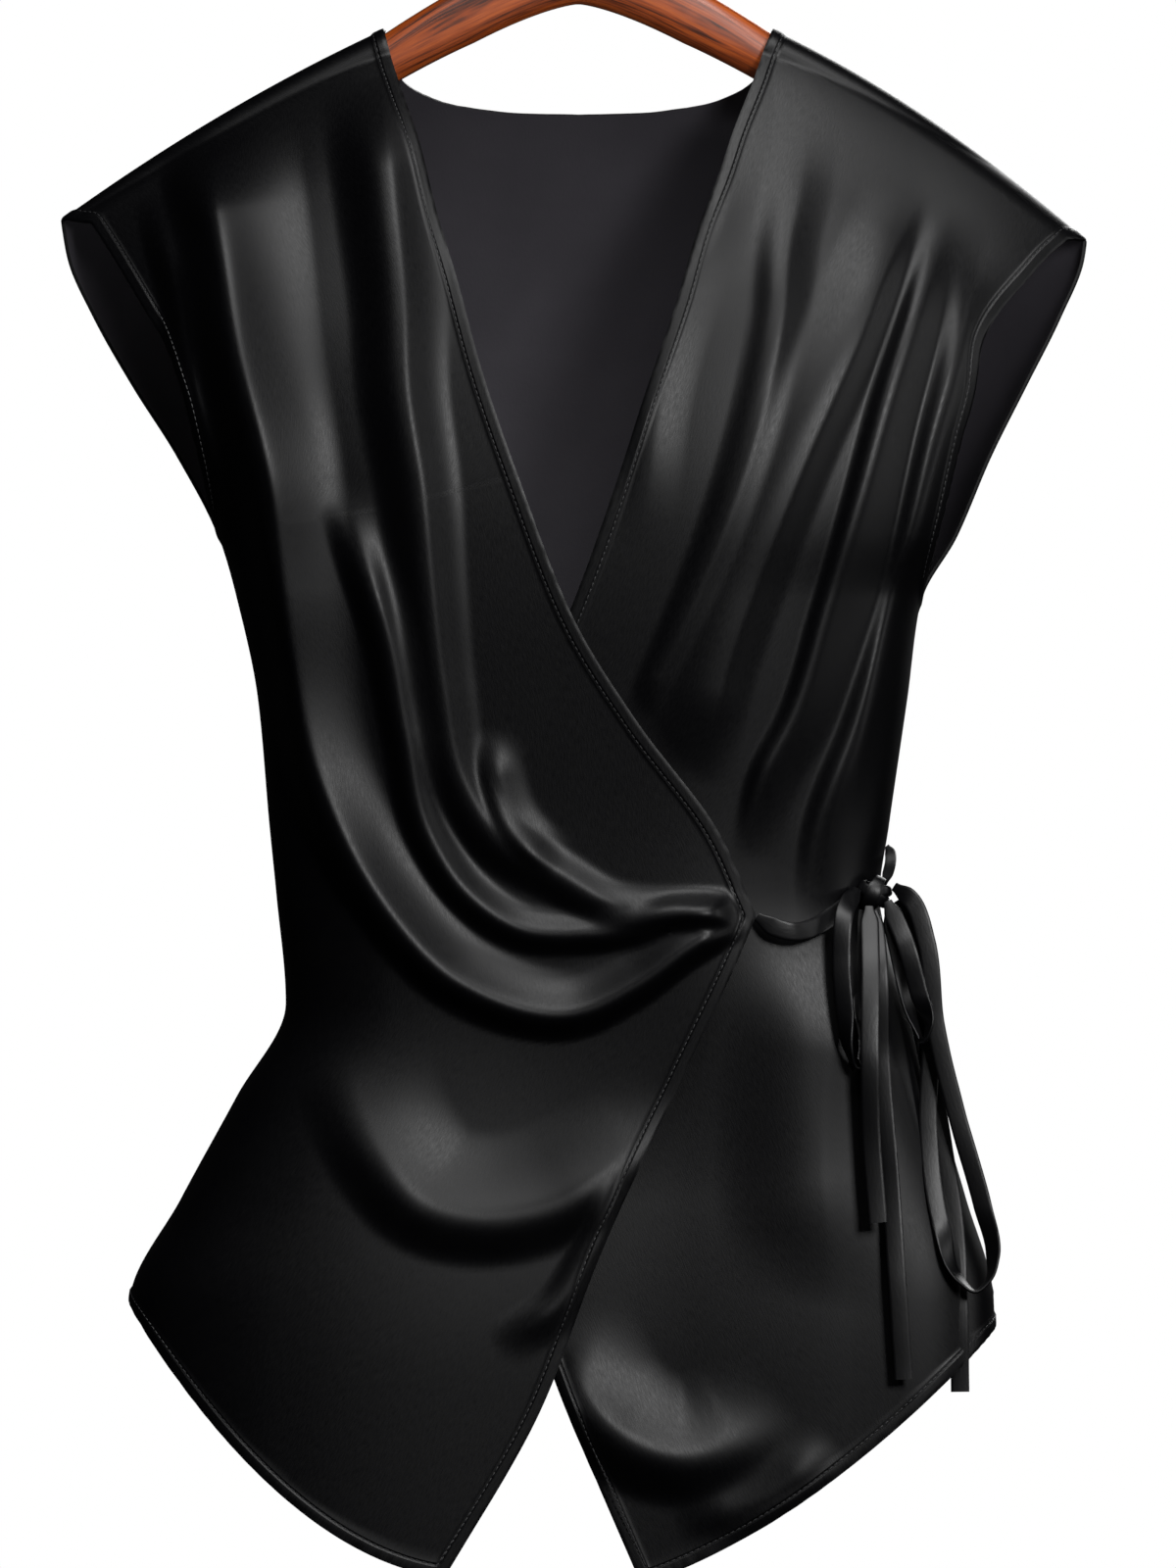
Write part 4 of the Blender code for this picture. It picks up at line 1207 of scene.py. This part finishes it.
class BLOUSE_OT_back(bpy.types.Operator):
    """The back: one panel from the shoulders to the hem, turned and stitched at neckline and armholes."""

    bl_idname = "blouse.back"
    bl_label = "Back"

    def execute(self, context):
        outer = back_outer()
        neck = np.abs(outer[0, :, 0]) < NECK_HALF + NECK_SLACK
        left_open, right_open = outer[:, 0, 2] > OVER.armpit_z, outer[:, -1, 2] > UNDER.armpit_z
        edges = [outer[0, neck], outer[-1], outer[left_open, 0], outer[right_open, -1]]
        neck_start, neck_count = int(np.argmax(neck)), int(neck.sum())
        seams = [
            Seam("first row", neck_start + CLEAR_OF_CORNER, neck_start + neck_count - CLEAR_OF_CORNER),
            Seam("last row", CLEAR_OF_CORNER, -CLEAR_OF_CORNER),
            Seam("first column", CLEAR_OF_TIP, int(left_open.sum()) - CLEAR_OF_ARMPIT),
            Seam("last column", CLEAR_OF_TIP, int(right_open.sum()) - CLEAR_OF_ARMPIT),
        ]
        build_panel("back", outer, edges, seams)
        return {"FINISHED"}


class BLOUSE_OT_fronts(bpy.types.Operator):
    """The two crossing fronts: shells over the form with their drapes, turned hems and rows of stitches."""

    bl_idname = "blouse.fronts"
    bl_label = "Fronts"

    def execute(self, context):
        for node, panel in (("front_under", UNDER), ("front_over", OVER)):
            outer = front_outer(panel)
            open_rows = outer[:, 0, 2] > panel.armpit_z
            edges = [outer[:, -1], outer[-1], outer[open_rows, 0]]
            seams = [
                Seam("last column", CLEAR_OF_RIDGE, None), Seam("last row", CLEAR_OF_CORNER, -CLEAR_OF_CORNER),
                Seam("first column", CLEAR_OF_TIP, int(open_rows.sum()) - CLEAR_OF_ARMPIT),
            ]
            build_panel(node, outer, edges, seams)
        return {"FINISHED"}


class BLOUSE_OT_straps(bpy.types.Operator):
    """The tie: flat straps carried along their routes, and the knot that they are wound into."""

    bl_idname = "blouse.straps"
    bl_label = "Straps and knot"

    def execute(self, context):
        cloth = context.scene.blouse_cloth
        satin = once("black_charmeuse_strap", strap_satin)
        knot = self.knot(satin)
        built = {}
        for name, strands in STRAPS.items():
            free_end = name in STRAP_FACTS and STRAP_FACTS[name].far_end == "bare"
            pinch = STUB_PINCH if name == "tie_seam_stub" else 1.0
            made, path, length = strap_skin(name + "_strap", strands, free_end, cloth, satin, pinch)
            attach(made, "root")
            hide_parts(name)
            built[name] = (made, path, length)
        for name, facts in STRAP_FACTS.items():
            made, path, length = built[name]
        return {"FINISHED"}

    def knot(self, satin):
        points, faces = ellipsoid(KNOT_CENTRE, KNOT_CORE, KNOT_RINGS, KNOT_SIDES)
        for wrap in KNOT_WRAPS:
            more, quads = ring_band(wrap)
            faces = faces + [[i + len(points) for i in quad] for quad in quads]
            points = np.concatenate([points, more])
        uv = (points[:, [0, 2]] + DEPTH_IN_PATTERN * points[:, [1, 1]]) * MM
        made = add_mesh("knot_wound", points, faces, [satin], SECTION_CREASE, uv=uv)
        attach(made, "root")
        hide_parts("tie_knot")
        return made


class BLOUSE_OT_hanger(bpy.types.Operator):
    """The coat hanger: a bent wooden bar in finer form, and the finish of the wire hook."""

    bl_idname = "blouse.hanger"
    bl_label = "Coat hanger"

    def execute(self, context):
        points, faces, uv = bar_skin(HANGER_SPANS, HANGER_SIDES)
        wood = once("stained_varnished_beech", varnished_beech)
        made = add_mesh("hanger_bar_wood", points, faces, [wood], SECTION_CREASE, uv=uv)
        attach(made, "root")
        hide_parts("hanger_bar")
        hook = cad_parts["hanger_hook"]
        for part in hook.material_slots:
            part.material = once("nickel_plated_steel_wire", plated_wire)
        return {"FINISHED"}


class BLOUSE_OT_camera(bpy.types.Operator):
    """The camera: straight on, level with the middle of the picture, with a long lens."""

    bl_idname = "blouse.camera"
    bl_label = "Camera"

    def execute(self, context):
        stage = context.scene.blouse_stage
        lens = bpy.data.cameras.new("camera")
        lens.sensor_fit = "VERTICAL"
        lens.sensor_height = SENSOR_HEIGHT
        lens.lens = lens.sensor_height * (stage.camera_distance + SUBJECT_Y) / stage.picture_height
        lens.clip_end = FARTHEST_SEEN
        camera = bpy.data.objects.new("camera", lens)
        camera.location = (CAMERA_X, -stage.camera_distance, CAMERA_Z)
        camera.rotation_euler = (math.pi / 2, 0, 0)
        context.scene.collection.objects.link(camera)
        context.scene.camera = camera
        return {"FINISHED"}


class BLOUSE_OT_stage(bpy.types.Operator):
    """The studio: a pale floor under the hanging blouse, a white room and the lights."""

    bl_idname = "blouse.stage"
    bl_label = "Studio"

    def execute(self, context):
        stage = context.scene.blouse_stage
        self.floor(stage.floor_z)
        self.room(context.scene, stage.room_light)
        for name, light in LIGHTS.items():
            self.light(name, light, getattr(stage, name + "_power"))
        context.scene.view_settings.view_transform = "Standard"
        return {"FINISHED"}

    def floor(self, floor_z):
        corners = [(-1, -1), (1, -1), (1, 1), (-1, 1)]
        points = [(x * FLOOR_HALF, y * FLOOR_HALF, floor_z / MM) for x, y in corners]
        paint = once("matt_white_studio_paint", painted_floor)
        floor = add_mesh("studio_floor", points, [[0, 1, 2, 3]], [paint], CLOTH_CREASE)
        floor.visible_glossy = False

    def room(self, scene, strength):
        """White for the camera, and a weak even light for everything else."""
        world = bpy.data.worlds.new("studio")
        scene.world = world
        world.use_nodes = True
        tree = world.node_tree
        seen = add_node(tree, "ShaderNodeLightPath").outputs["Is Camera Ray"]
        level = ranged(tree, seen, 0.0, 1.0, strength, 1.0)
        fill_inputs(tree, tree.nodes["Background"], Color=(1, 1, 1, 1), Strength=level)

    def light(self, name, light, power):
        lamp = bpy.data.lights.new(name, "AREA")
        lamp.shape = "RECTANGLE"
        lamp.size, lamp.size_y = light.size
        lamp.energy = power
        made = bpy.data.objects.new(name, lamp)
        made.location = light.place
        away = [a - b for a, b in zip(LIGHTS_AIM, light.place)]
        flat = math.hypot(away[0], away[1])
        made.rotation_euler = (math.atan2(flat, -away[2]), 0, math.atan2(-away[0], away[1]))
        bpy.context.scene.collection.objects.link(made)


class BLOUSE_PT_panel(bpy.types.Panel):
    """Lists the pieces and their settings in the sidebar."""

    bl_label = "Satin wrap blouse"
    bl_space_type = "VIEW_3D"
    bl_region_type = "UI"
    bl_category = "Blouse"

    def draw(self, context):
        for operator in OPERATORS:
            self.layout.operator(operator.bl_idname)
        for group in (context.scene.blouse_cloth, context.scene.blouse_colours, context.scene.blouse_stage):
            for key in group.bl_rna.properties.keys():
                if key not in ("rna_type", "name"):
                    self.layout.prop(group, key)


OPERATORS = (
    BLOUSE_OT_camera, BLOUSE_OT_straps, BLOUSE_OT_back, BLOUSE_OT_fronts, BLOUSE_OT_hanger, BLOUSE_OT_stage,
)
GROUPS = {
    "blouse_cloth": ClothSettings,
    "blouse_colours": ColourSettings,
    "blouse_stage": StageSettings,
}


def register():
    for group in GROUPS.values():
        bpy.utils.register_class(group)
    for key, group in GROUPS.items():
        setattr(bpy.types.Scene, key, bpy.props.PointerProperty(type=group))
    for shown in OPERATORS + (BLOUSE_PT_panel,):
        bpy.utils.register_class(shown)


def unregister():
    for shown in (BLOUSE_PT_panel,) + OPERATORS[::-1]:
        bpy.utils.unregister_class(shown)
    for key, group in GROUPS.items():
        delattr(bpy.types.Scene, key)
        bpy.utils.unregister_class(group)


def main():
    register()
    bpy.ops.blouse.camera()
    bpy.ops.blouse.straps()
    bpy.ops.blouse.back()
    bpy.ops.blouse.fronts()
    bpy.ops.blouse.hanger()
    bpy.ops.blouse.stage()


if __name__ == "__main__":
    main()
